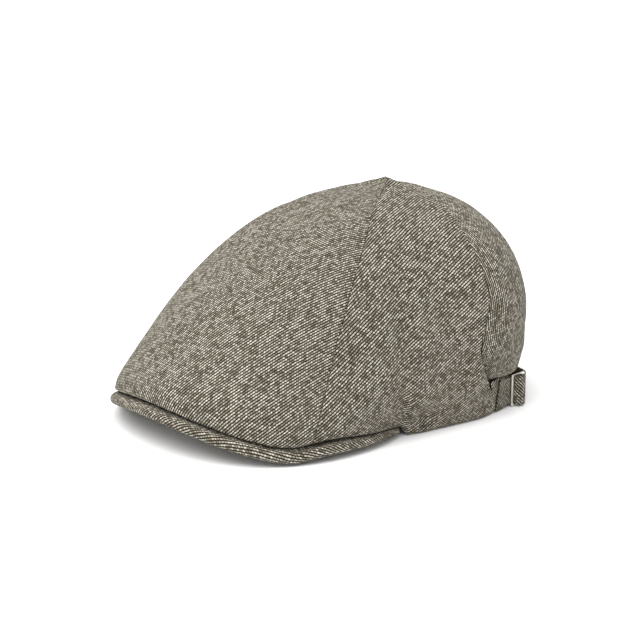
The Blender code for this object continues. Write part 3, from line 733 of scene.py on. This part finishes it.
    def shades(self, tree: Tree, place: Socket, cell: Socket) -> tuple[Socket, Socket]:
        """Colour the yarn and the ground.

        Args:
            tree: the material's nodes.
            place: place on the cloth, in metres.
            cell: the key of each stitch.

        Returns:
            The colour of the light yarn, by stitch, and that of the ground.
        """
        chance = add_node(tree, "ShaderNodeTexWhiteNoise", PLANAR, {"Vector": cell}).outputs["Value"]
        # Streaks of thicker and thinner yarn, and blotches about three stitches wide
        slanted = {
            "Vector": place,
            "Rotation": (0.0, 0.0, math.radians(self.streak_slant)),
            "Scale": (*self.streak_size, 1.0),
        }
        streak_place = add_node(tree, "ShaderNodeMapping", TEXTURE, slanted)
        by_streak = {"Vector": streak_place.outputs[0], "Scale": 1.0, "Detail": 2.0}
        streaks = add_node(tree, "ShaderNodeTexNoise", PLANAR, by_streak).outputs["Fac"]
        by_blotch = {"Vector": place, "Scale": 1 / self.blotch_size, "Detail": 3.0}
        blotches = add_node(tree, "ShaderNodeTexNoise", PLANAR, by_blotch).outputs["Fac"]
        value = chance
        for pattern, weight in ((streaks, self.streak_weight), (blotches, self.blotch_weight)):
            value = add_node(tree, "ShaderNodeMath", WEIGHTED, {0: pattern, 1: weight, 2: value}).outputs[0]
        # The two noises add about 0.42 on the average, so the ramp is read from near there
        low, high = self.shade_range
        shade = add_node(tree, "ShaderNodeMapRange", {}, {"Value": value, "From Min": low, "From Max": high})
        yarn = add_node(tree, "ShaderNodeValToRGB", {}, {0: shade.outputs["Result"]})
        ramp = yarn.color_ramp
        ramp.elements[0].color = linear(self.dim)
        ramp.elements[1].color = linear(self.cream)
        ramp.elements.new(self.fawn_place).color = linear(self.fawn)
        mixed = {0: blotches, 6: linear(self.ground), 7: linear(self.ground_light)}
        ground = add_node(tree, "ShaderNodeMix", COLOURED, mixed)
        return yarn.outputs[0], ground.outputs[2]


@dataclass(frozen=True)
class SatinSteel:
    """Nickel-plated steel with a satin brushed face: pale, warm grey and evenly blurred."""

    name: str = "satin_nickel_plate"
    colour: str = "#e2dfd6"
    roughness: tuple[float, float] = (0.30, 0.44)
    line: float = 0.0003
    line_stretch: float = 20.0
    relief: float = 0.00002
    relief_strength: float = 0.2

    def build(self) -> bpy.types.Material:
        """Make the material.

        Returns:
            The metal, brushed along its height.
        """
        made, tree, shader = new_finish(self.name)
        place = add_node(tree, "ShaderNodeTexCoord").outputs["Object"]
        lines = {"Vector": place, "Scale": (self.line, self.line, self.line * self.line_stretch)}
        stretched = add_node(tree, "ShaderNodeMapping", TEXTURE, lines).outputs[0]
        by_line = {"Vector": stretched, "Scale": 1.0}
        brushed = add_node(tree, "ShaderNodeTexNoise", {}, by_line).outputs["Fac"]
        low, high = self.roughness
        spread = add_node(tree, "ShaderNodeMapRange", {}, {"Value": brushed, "To Min": low, "To Max": high})
        raised = {"Height": brushed, "Strength": self.relief_strength, "Distance": self.relief}
        inputs = {
            "Base Color": linear(self.colour),
            "Metallic": 1.0,
            "Roughness": spread.outputs["Result"],
            "Normal": add_node(tree, "ShaderNodeBump", {}, raised).outputs[0],
        }
        feed(shader, inputs)
        return made


@dataclass(frozen=True)
class WhiteBoard:
    """Matt white painted board under the cap."""

    name: str = "matt_white_board"
    colour: str = "#f4f4f4"
    roughness: float = 0.9
    specular: float = 0.1

    def build(self) -> bpy.types.Material:
        """Make the material."""
        made, _, shader = new_finish(self.name)
        inputs = {
            "Base Color": linear(self.colour),
            "Roughness": self.roughness,
            "Specular IOR Level": self.specular,
        }
        feed(shader, inputs)
        return made


# Pieces

def add_piece(name: str, shape: bmesh.types.BMesh, finish: bpy.types.Material) -> bpy.types.Object:
    """Put a finished bmesh into the scene.

    Args:
        name: the piece's name.
        shape: the mesh, which is freed.
        finish: its material.

    Returns:
        The object, smooth-shaded, at the origin.
    """
    mesh = bpy.data.meshes.new(name)
    shape.to_mesh(mesh)
    shape.free()
    mesh.materials.append(finish)
    mesh.shade_smooth()
    made = bpy.data.objects.new(name, mesh)
    bpy.context.scene.collection.objects.link(made)
    return made


def settle(piece: bpy.types.Object, slot: str, *nodes: str) -> None:
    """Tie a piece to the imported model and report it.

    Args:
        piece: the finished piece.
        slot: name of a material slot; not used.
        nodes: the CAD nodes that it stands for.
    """
    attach(piece, ROOT)
    if nodes:
        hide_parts(*nodes)
    LOG.info("%s: %d faces", piece.name, len(piece.data.polygons))


def cloth_grid(columns: int, rows: int) -> tuple[bmesh.types.BMesh, Grid, Grid]:
    """A flat grid of cloth, ready to be bent.

    Args:
        columns: faces across.
        rows: faces up.

    Returns:
        The mesh, and the share across and the share up of each of its vertices.
    """
    flat = bmesh.new()
    flat.loops.layers.uv.new("cloth")
    bmesh.ops.create_grid(flat, x_segments=columns, y_segments=rows, size=0.5)
    places = np.array([vert.co for vert in flat.verts])
    return flat, places[:, 0] + 0.5, places[:, 1] + 0.5


def bend(flat: bmesh.types.BMesh, points: Grid, pattern: Grid) -> None:
    """Move every vertex of a grid, and lay the cloth's pattern on it.

    Args:
        flat: the grid.
        points: a place for each vertex.
        pattern: the place of each vertex on the flat cloth, in metres.
    """
    for vert, point in zip(flat.verts, points):
        vert.co = point
    flat.verts.index_update()
    layer = flat.loops.layers.uv.active
    for face in flat.faces:
        for loop in face.loops:
            loop[layer].uv = pattern[loop.vert.index]


def close_up(flat: bmesh.types.BMesh) -> None:
    """Join a grid's meeting sides, fill its open ends and turn its faces outwards."""
    bmesh.ops.remove_doubles(flat, verts=flat.verts, dist=SAME_PLACE)
    bmesh.ops.holes_fill(flat, edges=flat.edges)
    bmesh.ops.recalc_face_normals(flat, faces=flat.faces)


def unevenness(points: Grid, size: float, height: float) -> Grid:
    """Small rise and fall of soft cloth, the same on each run.

    Args:
        points: places on the cloth.
        size: distance between its swells.
        height: how far they rise.

    Returns:
        A rise for each point.
    """
    return np.array([noise.noise(Vector(point) / size) for point in points]) * height


@dataclass
class CrownPanel:
    """One cloth panel of the crown between two seams."""

    name: str
    node: str
    form: CrownForm
    start: Callable[[Grid], Grid]
    end: Callable[[Grid], Grid]
    columns: int
    grain: Grain
    at_back: bool
    rows: int = 116
    crowding: float = 0.55
    edge_crowding: float = 0.82
    swell_size: float = 0.028
    swell_height: float = 0.0005
    ripple_size: float = 0.011
    ripple_height: float = 0.00022
    calm_seam: float = 0.006
    calm_edge: float = 0.06
    tip_search: float = 0.97
    tip_trials: int = 400

    def climbs(self, share: Grid) -> Grid:
        """Climbs of the rows, closer together near the lower edge."""
        trial = np.linspace(self.tip_search, 1, self.tip_trials)
        front = np.zeros(self.tip_trials)
        reach = self.form.edge_reach(front) * self.form.share_round(self.form.section_at(trial), front)
        tip = trial[np.argmax(reach < self.form.tip_radius)]
        return tip * (share * (1 - self.crowding) + self.crowding * share**2)

    def build(self, finish: bpy.types.Material) -> bpy.types.Object:
        """Bend the flat grid into the panel and give it the cloth's thickness.

        Args:
            finish: the tweed.

        Returns:
            The panel.
        """
        flat, across, up = cloth_grid(self.columns, self.rows)
        eased = across - self.edge_crowding * np.sin(2 * np.pi * across) / (2 * np.pi)
        climb = self.climbs(up)
        section = self.form.section_at(climb)
        first = self.start(climb)
        last = self.end(climb)
        reach_first = self.form.edge_reach(first) * self.form.share_round(section, first)
        reach_last = self.form.edge_reach(last) * self.form.share_round(section, last)
        inset = self.form.edge_inset(climb, self.at_back)
        first = first + inset / reach_first
        last = last - inset / reach_last
        azimuth = first + (last - first) * eased
        width = (last - first) * (reach_first + reach_last) / 2
        to_seam = np.minimum(eased, 1 - eased) * width
        points = self.form.cloth(azimuth, climb, to_seam, self.at_back)
        out = self.form.normal(azimuth, climb)
        swell = unevenness(points, self.swell_size, self.swell_height)
        swell = swell + unevenness(points, self.ripple_size, self.ripple_height)
        swell = (swell - self.swell_height) * ease(to_seam / self.calm_seam) * ease(climb / self.calm_edge)
        points = points + out * swell[:, None]
        bend(flat, points, points[:, :2])
        piece = add_piece(self.name, flat, finish)
        self.lay_pattern(piece)
        wall = piece.modifiers.new("cloth_thickness", "SOLIDIFY")
        wall.thickness = self.form.wall
        wall.offset = -1.0
        wall.use_even_offset = False
        return piece

    def lay_pattern(self, piece: bpy.types.Object) -> None:
        """Flatten the panel into its UV map, true to size, with the middle running straight up.

        Args:
            piece: the bent panel, before its thickness.
        """
        bpy.context.view_layer.objects.active = piece
        bpy.ops.object.mode_set(mode="EDIT")
        bpy.ops.mesh.select_all(action="SELECT")
        bpy.ops.uv.unwrap(method="ANGLE_BASED", margin=0.0)
        bpy.ops.object.mode_set(mode="OBJECT")
        mesh = piece.data
        layer = mesh.uv_layers.active
        flat = np.zeros((len(mesh.loops), 2), np.float32)
        layer.data.foreach_get("uv", flat.ravel())
        corners = np.zeros(len(mesh.loops), int)
        mesh.loops.foreach_get("vertex_index", corners)
        places = np.zeros((len(mesh.vertices), 2))
        places[corners] = flat
        middle = self.columns // 2
        foot = places[middle]
        high = places[(self.columns + 1) * (self.rows // 2) + middle]
        run = (high - foot) / np.hypot(*(high - foot))
        # Size from the middle column, whose length does not change when it is flattened
        column = np.arange(self.rows // 2 + 1) * (self.columns + 1) + middle
        solid = np.array([mesh.vertices[int(index)].co for index in column])
        length = np.linalg.norm(np.diff(solid, axis=0), axis=1).sum()
        size = length / np.linalg.norm(np.diff(places[column], axis=0), axis=1).sum()
        turn = math.radians(self.grain.value)
        up = np.array(
            [
                run[0] * math.cos(turn) - run[1] * math.sin(turn),
                run[0] * math.sin(turn) + run[1] * math.cos(turn),
            ]
        )
        aside = np.array([up[1], -up[0]])
        from_foot = (flat - foot) * size
        laid = np.stack([from_foot @ aside, from_foot @ up], -1)
        layer.data.foreach_set("uv", laid.astype(np.float32).ravel())


@dataclass
class Crown:
    """The four panels of the crown."""

    form: CrownForm
    tweed: TwillTweed

    def panels(self) -> list[CrownPanel]:
        """The panels with the seams that bound them."""

        def edge(side: Side, column: int, turn: float = 0.0) -> Callable[[Grid], Grid]:
            """A seam's azimuth by climb, a turn further round."""
            return lambda climb: turn + side.value * self.form.seam(climb, column)

        left, right = Side.LEFT, Side.RIGHT
        rows = (
            ("front_panel", edge(right, 1), edge(left, 1), 124, Grain.FRONT),
            ("side_panel_left", edge(left, 1), edge(left, 2), 92, Grain.LEFT),
            ("side_panel_right", edge(right, 2), edge(right, 1), 92, Grain.RIGHT),
            ("back_panel", edge(left, 2), edge(right, 2, 2 * np.pi), 170, Grain.STRAIGHT),
        )
        return [
            CrownPanel(f"{node}_cloth", node, self.form, *rest, at_back=node == "back_panel")
            for node, *rest in rows
        ]

    def build(self) -> None:
        """Build and dress every panel."""
        finish = self.tweed.build()
        for panel in self.panels():
            settle(panel.build(finish), "tweed", panel.node)


@dataclass
class Peak:
    """The cloth-covered peak: an arched crescent with a rounded rim."""

    form: PeakForm
    tweed: TwillTweed
    steps: int = 160
    flat_steps: int = 14
    rim_steps: int = 14

    def outline(self) -> tuple[Grid, Grid]:
        """Closed section of the peak: shares from the inner edge to the rim, and a rise."""
        inward = np.linspace(0, 1, self.flat_steps + 1)
        bulge = np.radians(np.linspace(-90, 90, self.rim_steps + 1))[1:-1]
        reach = np.concatenate([inward, 1 + np.cos(bulge), inward[::-1]])
        rise = np.concatenate([np.zeros_like(inward), (np.sin(bulge) + 1) / 2, np.ones_like(inward)])
        return reach, rise

    def build(self) -> None:
        """Bend a grid round the section, close it, and dress it."""
        reach_shares, rises = self.outline()
        count = len(reach_shares)
        flat, across, up = cloth_grid(self.steps, count)
        azimuth = (2 * across - 1) * self.form.end()
        index = np.round(up * count).astype(int) % count
        rim = self.form.rim(azimuth)
        inner = self.form.head.reach(azimuth) - self.form.seam
        half = self.form.thickness(azimuth) / 2
        share = reach_shares[index]
        straight = rim - half
        beyond = np.maximum(share - 1, 0) * half
        reach = inner + (straight - inner) * np.minimum(share, 1) + beyond
        x, y = self.form.head.plan(azimuth, reach)
        under = self.form.under(azimuth, x)
        z = under + rises[index] * 2 * half
        points = np.stack([x, y, z], -1)
        bend(flat, points, self.pattern(points, azimuth, share, rises[index], straight, half))
        close_up(flat)
        settle(add_piece("peak_cover", flat, self.tweed.build()), "peak_tweed", "peak")

    def pattern(
        self, points: Grid, azimuth: Grid, share: Grid, rise: Grid, straight: Grid, half: Grid
    ) -> Grid:
        """Place of each point on the flat cloth, which lies on top and wraps down the rim.

        Args:
            points: places of the section's points.
            azimuth: their azimuths.
            share: their shares from the inner edge to the rim, over 1 on the bulge.
            rise: their heights as shares of the thickness.
            straight: where the bulge starts.
            half: half the thickness.

        Returns:
            Metres across and along the flat cloth.
        """
        edge_x, edge_y = self.form.head.plan(azimuth, straight)
        down = np.arccos(np.clip(2 * rise - 1, -1, 1)) * half
        wrapped = np.stack([edge_x + np.sin(azimuth) * down, edge_y - np.cos(azimuth) * down], -1)
        return np.where((share > 1 - NEAR_END)[:, None], wrapped, points[:, :2])


@dataclass(frozen=True)
class BuckleForm:
    """Place and sizes of the three-bar slide."""

    head: HeadOpening
    azimuth: float = 112.0
    stand: float = 0.0035
    turn: float = 20.0
    height: float = 0.0186
    bar: float = 0.0018
    rail: float = 0.0010
    thick: float = 0.0010
    pitch: float = 0.0048
    edge: float = 0.0002
    centre_z: float = 0.0098

    def frame(self) -> tuple[Grid, Grid, Grid]:
        """Centre in plan, and the directions along and out of the strap there."""
        centre = self.head.hem_place(self.azimuth, self.stand)
        ahead = self.head.hem_place(self.azimuth + 1, 0) - self.head.hem_place(self.azimuth - 1, 0)
        heading = math.atan2(ahead[1], ahead[0]) - math.radians(self.turn)
        along = np.array([math.cos(heading), math.sin(heading)])
        return centre, along, np.array([along[1], -along[0]])


def smooth_path(controls: list[tuple[float, ...]], step: float) -> Grid:
    """Points of a curve through control points, at most a step apart.

    Args:
        controls: rows of plan place and section sizes.
        step: the longest distance between two points.

    Returns:
        The rows of the curve.
    """
    rows = np.array(controls, float)
    rows = np.vstack([2 * rows[0] - rows[1], rows, 2 * rows[-1] - rows[-2]])
    points = [rows[1]]
    for index in range(len(controls) - 1):
        apart = np.hypot(*(rows[index + 2] - rows[index + 1])[:2])
        steps = max(4, math.ceil(apart / step))
        for share in np.linspace(0, 1, steps + 1)[1:]:
            points.append(curve_between(*rows[index:index + 4], share))
    return np.array(points)


@dataclass
class Straps:
    """The long strap and the short tab that holds the buckle."""

    buckle: BuckleForm
    tweed: TwillTweed
    height: float = 0.0178
    thick: float = 0.0012
    inset: float = 0.0003
    draw: float = 0.0024
    tail: float = 0.0157
    tail_out: float = 0.0008
    tail_end_out: float = 0.0005
    end_share: float = 0.35
    tab_thick: float = 0.0007
    tab_height: float = 0.0186
    tab_shows: float = 0.0006
    tab_reach: float = 0.0147
    tab_lean: float = 0.0052
    layer_gap: float = 0.00040
    loop_bulge: float = 0.0006
    loop_height: float = 0.0174
    # The long strap round the back: azimuth, share of draw
    route: tuple[tuple[float, float], ...] = (
        (-99.0, 0.00),
        (-112.0, 0.30),
        (-124.0, 0.80),
        (-137.0, 1.00),
        (-150.0, 0.90),
        (-165.0, 0.40),
        (180.0, 0.32),
        (165.0, 0.40),
        (150.0, 1.10),
        (137.0, 1.35),
        (126.0, 1.15),
    )
    section_steps: int = 26
    edge_share: float = 0.42
    edge_round: float = 1.6
    strap_step: float = 0.0012
    tab_step: float = 0.0008

    def folds(self) -> tuple[float, float]:
        """Radius of the tab's fold round the middle bar, and of the strap's over that."""
        bar = math.hypot(self.buckle.thick / 2, self.buckle.thick / 2 - self.buckle.edge)
        tab = bar + self.layer_gap + self.tab_thick / 2
        return tab, tab + self.tab_thick / 2 + self.layer_gap + self.thick / 2

    def from_buckle(self, rows: list[tuple[float, ...]]) -> list[tuple[float, ...]]:
        """Control points in plan from rows of (along, out, height, lean) at the buckle."""
        centre, along, out = self.buckle.frame()
        points = []
        for by_along, by_out, tall, lean in rows:
            place = centre + along * by_along + out * by_out
            points.append((place[0], place[1], tall, lean))
        return points

    def in_buckle(self) -> float:
        """Height of cloth that passes through the buckle's windows."""
        return self.buckle.height - 2 * self.buckle.rail - 2 * self.layer_gap

    def strap_controls(self) -> list[tuple[float, ...]]:
        """The long strap: right seam, round the back, through the buckle, free end."""
        points = []
        for index, (degrees, inward) in enumerate(self.route):
            place = self.buckle.head.hem_place(degrees, -inward * self.draw - self.inset)
            lean = -self.tab_lean if index == 0 else 0.0
            points.append((place[0], place[1], self.height, lean))
        _, over = self.folds()
        pitch = self.buckle.pitch
        thick = self.thick
        under = self.buckle.thick / 2 + self.layer_gap + thick / 2
        corner = pitch - self.buckle.bar / 2
        turn = math.sqrt(0.5)
        half = self.buckle.thick / 2
        edge = self.buckle.edge
        bulge = self.loop_bulge
        inside = self.in_buckle()
        return points + self.from_buckle(
            [
                (pitch * 2.17, -under - thick * 1.5, inside + self.layer_gap, 0.0),
                (pitch * 1.67, -under - thick * 0.35, inside, 0.0),
                (pitch * 1.17, -under - thick * 0.1, inside, 0.0),
                (corner, -under, inside, 0.0),
                (over + edge, -half, inside, 0.0),
                (over + edge, half * 2, inside, 0.0),
                (over + bulge * 0.6, over * turn, self.loop_height, 0.0),
                ((over + bulge) * turn, over + bulge, self.loop_height, 0.0),
                (0.0, over + bulge * 1.5, self.loop_height, 0.0),
                (-over * turn, over + bulge / 2, self.loop_height, 0.0),
                (-over - edge, half * 2, inside, 0.0),
                (-over - edge, -half, inside, 0.0),
                (-corner, -under, inside, 0.0),
                (-pitch * 1.73, -under + thick * 0.15, inside, 0.0),
                (-pitch * 2.56, -under + thick * 0.6, self.height, 0.0),
                (-pitch - self.tail, self.tail_end_out, self.height, -self.tab_lean),
            ]
        )

    def tab_controls(self) -> list[tuple[float, ...]]:
        """The tab: left seam, under the free end, round the buckle's middle bar."""
        fold, _ = self.folds()
        pitch = self.buckle.pitch
        drop = self.thick / 2 + self.layer_gap + self.tab_thick / 2
        under = self.buckle.thick / 2 + self.layer_gap + self.thick / 2 + drop
        turn = math.sqrt(0.5)
        spare = self.layer_gap / 2
        end = pitch + self.tab_reach
        inside = self.in_buckle()
        return self.from_buckle(
            [
                (-end - self.tab_shows, self.tail_out - drop - spare, self.tab_height, -self.tab_lean),
                (-end + self.tab_reach * 0.35, self.tail_out - drop - spare * 7, self.tab_height, 0.0),
                (-pitch * 1.75, -under + spare / 2, self.height, 0.0),
                (-pitch * 0.92, -under - spare, inside, 0.0),
                (-fold * 1.5, -fold * 1.5, inside, 0.0),
                (-fold, 0.0, inside, 0.0),
                (-fold * turn, fold * turn, inside, 0.0),
                (0.0, fold, inside, 0.0),
                (fold * turn, fold * turn, inside, 0.0),
                (fold, 0.0, inside, 0.0),
                (fold * 0.85, -fold * 0.45, inside, 0.0),
            ]
        )

    def ribbon(self, name: str, path: Grid, thick: float, finish: bpy.types.Material) -> bpy.types.Object:
        """Soft flat band on edge along a path.

        Args:
            name: the piece's name.
            path: rows of plan place, height of the band and lean of its upper edge.
            thick: thickness of the cloth.
            finish: its material.

        Returns:
            The band, closed at both ends.
        """
        flat, along, around = cloth_grid(len(path) - 1, self.section_steps)
        index = np.round(along * (len(path) - 1)).astype(int)
        row = path[index]
        tangent = np.gradient(path[:, :2], axis=0)
        tangent = (tangent / np.linalg.norm(tangent, axis=1)[:, None])[index]
        side = np.stack([tangent[:, 1], -tangent[:, 0]], -1)
        angle = 2 * np.pi * around
        # A flat oval: rounded at the folded edges, straight between them
        upright = np.cos(angle)
        aside = np.sin(angle)
        rise = np.sign(upright) * (1 - (1 - np.abs(upright)) ** self.edge_round) * row[:, 2] / 2
        out = np.sign(aside) * np.abs(aside) ** self.edge_share * thick / 2
        # The cut ends are pressed thin
        out = np.where((along < NEAR_END) | (along > 1 - NEAR_END), out * self.end_share, out)
        ahead = row[:, 3] * (rise / row[:, 2] + 0.5)
        x = row[:, 0] + side[:, 0] * out + tangent[:, 0] * ahead
        y = row[:, 1] + side[:, 1] * out + tangent[:, 1] * ahead
        points = np.stack([x, y, self.buckle.centre_z + rise], -1)
        steps = np.hypot(*np.diff(path[:, :2], axis=0).T)
        run = np.concatenate([[0], np.cumsum(steps)])[index]
        bend(flat, points, np.stack([run, rise], -1))
        close_up(flat)
        return add_piece(name, flat, finish)

    def build(self) -> None:
        """Build and dress the strap and the tab."""
        finish = self.tweed.build()
        strap = smooth_path(self.strap_controls(), self.strap_step)
        tab = smooth_path(self.tab_controls(), self.tab_step)
        settle(self.ribbon("strap_band", strap, self.thick, finish), "strap_tweed", "strap_right")
        settle(self.ribbon("tab_band", tab, self.tab_thick, finish), "strap_tweed", "strap_left")


@dataclass
class Buckle:
    """The metal slide, whose CAD node keeps its shape."""

    steel: SatinSteel

    def build(self) -> None:
        """Give the node its finish."""
        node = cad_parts["buckle"]
        node.data.materials.clear()
        node.data.materials.append(self.steel.build())
        LOG.info("buckle: finish only")


@dataclass
class Studio:
    """White floor, soft light from above, and the camera."""

    floor_side: float = 60.0
    lens: float = 100.0
    distance: float = 1.016
    azimuth: float = 50.0
    elevation: float = 15.0
    target: tuple[float, float, float] = (-0.0004, -0.0012, 0.0489)
    sky: float = 1.48
    sky_height: float = 76.0
    sky_behind: float = 0.22
    sky_spread: tuple[float, float] = (-0.5, 0.9)
    key_azimuth: float = -6.0
    key_height: float = 66.0
    key_spread: float = 60.0
    key_power: float = 2.1
    key_distance: float = 2.0
    sensor: float = 36.0
    floor: WhiteBoard = field(default_factory=WhiteBoard)

    def away(self, azimuth: float, elevation: float) -> Vector:
        """Direction from the cap towards a place round it, in degrees."""
        turn = math.radians(azimuth)
        rise = math.radians(elevation)
        return Vector(
            (math.sin(turn) * math.cos(rise), -math.cos(turn) * math.cos(rise), math.sin(rise))
        )

    def aim(
        self, data: bpy.types.ID, target: Vector, azimuth: float, elevation: float, distance: float
    ) -> bpy.types.Object:
        """Put a light or a camera into the scene, looking at a point.

        Args:
            data: the light or the camera.
            target: the point.
            azimuth: where it stands, in degrees.
            elevation: how high, in degrees.
            distance: how far from the point.

        Returns:
            The object, named like its data.
        """
        made = bpy.data.objects.new(data.name, data)
        bpy.context.scene.collection.objects.link(made)
        away = self.away(azimuth, elevation)
        turned = away.to_track_quat("Z", "Y").to_matrix().to_4x4()
        made.matrix_world = Matrix.Translation(target + away * distance) @ turned
        return made

    def lay_floor(self) -> None:
        """A plain white floor at the level of the hem."""
        shape = bmesh.new()
        bmesh.ops.create_grid(shape, x_segments=1, y_segments=1, size=self.floor_side / 2)
        add_piece("floor", shape, self.floor.build())

    def hang_light(self, name: str, azimuth: float, elevation: float, spread: float, power: float) -> None:
        """A wide, even light, as from a large soft box far off.

        Args:
            name: the light's name.
            azimuth: where it comes from, in degrees.
            elevation: how high, in degrees.
            spread: how wide it looks from the cap, in degrees.
            power: strength.
        """
        lamp = bpy.data.lights.new(name, "SUN")
        lamp.angle = math.radians(spread)
        lamp.energy = power
        self.aim(lamp, Vector(), azimuth, elevation, self.key_distance)

    def light(self) -> None:
        """A white sky, brightest nearly overhead, and one wide light from high in front."""
        world = bpy.data.worlds.new("studio")
        world.use_nodes = True
        tree = world.node_tree
        place = add_node(tree, "ShaderNodeTexCoord").outputs["Generated"]
        turned = {0: place, 1: tuple(self.away(0.0, self.sky_height))}
        towards = add_node(tree, "ShaderNodeVectorMath", {"operation": "DOT_PRODUCT"}, turned)
        brightness = {
            "Value": towards.outputs["Value"],
            "From Min": self.sky_spread[0],
            "From Max": self.sky_spread[1],
            "To Min": self.sky_behind,
            "To Max": self.sky,
        }
        strength = add_node(tree, "ShaderNodeMapRange", {}, brightness).outputs["Result"]
        feed(tree.nodes["Background"], {"Color": (1, 1, 1, 1), "Strength": strength})
        bpy.context.scene.world = world
        self.hang_light("key", self.key_azimuth, self.key_height, self.key_spread, self.key_power)

    def place_camera(self) -> None:
        """The camera at the photograph's angle."""
        lens = bpy.data.cameras.new("camera")
        lens.lens = self.lens
        lens.sensor_width = self.sensor
        target = Vector(self.target)
        bpy.context.scene.camera = self.aim(lens, target, self.azimuth, self.elevation, self.distance)

    def build(self) -> None:
        """Set up floor, light, camera and the plain display of colours."""
        self.lay_floor()
        self.light()
        self.place_camera()
        bpy.context.scene.view_settings.view_transform = "Standard"
        LOG.info("studio ready")


def main() -> None:
    """Build the sub-assemblies in order."""
    logging.basicConfig(level=logging.INFO, format="%(name)s %(message)s")
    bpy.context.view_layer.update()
    head = HeadOpening()
    peak = PeakForm(head)
    Crown(CrownForm(head, peak), TwillTweed("woollen_twill_tweed")).build()
    Peak(peak, TwillTweed("peak_twill_tweed")).build()
    strap_cloth = TwillTweed(
        "strap_twill_tweed", wale=0.00135, stitch=0.00140, cream="#c7c1b3", fawn="#938d7e", dim="#6b6457"
    )
    Straps(BuckleForm(head), strap_cloth).build()
    Buckle(SatinSteel()).build()
    Studio().build()


if __name__ == "__main__":
    main()
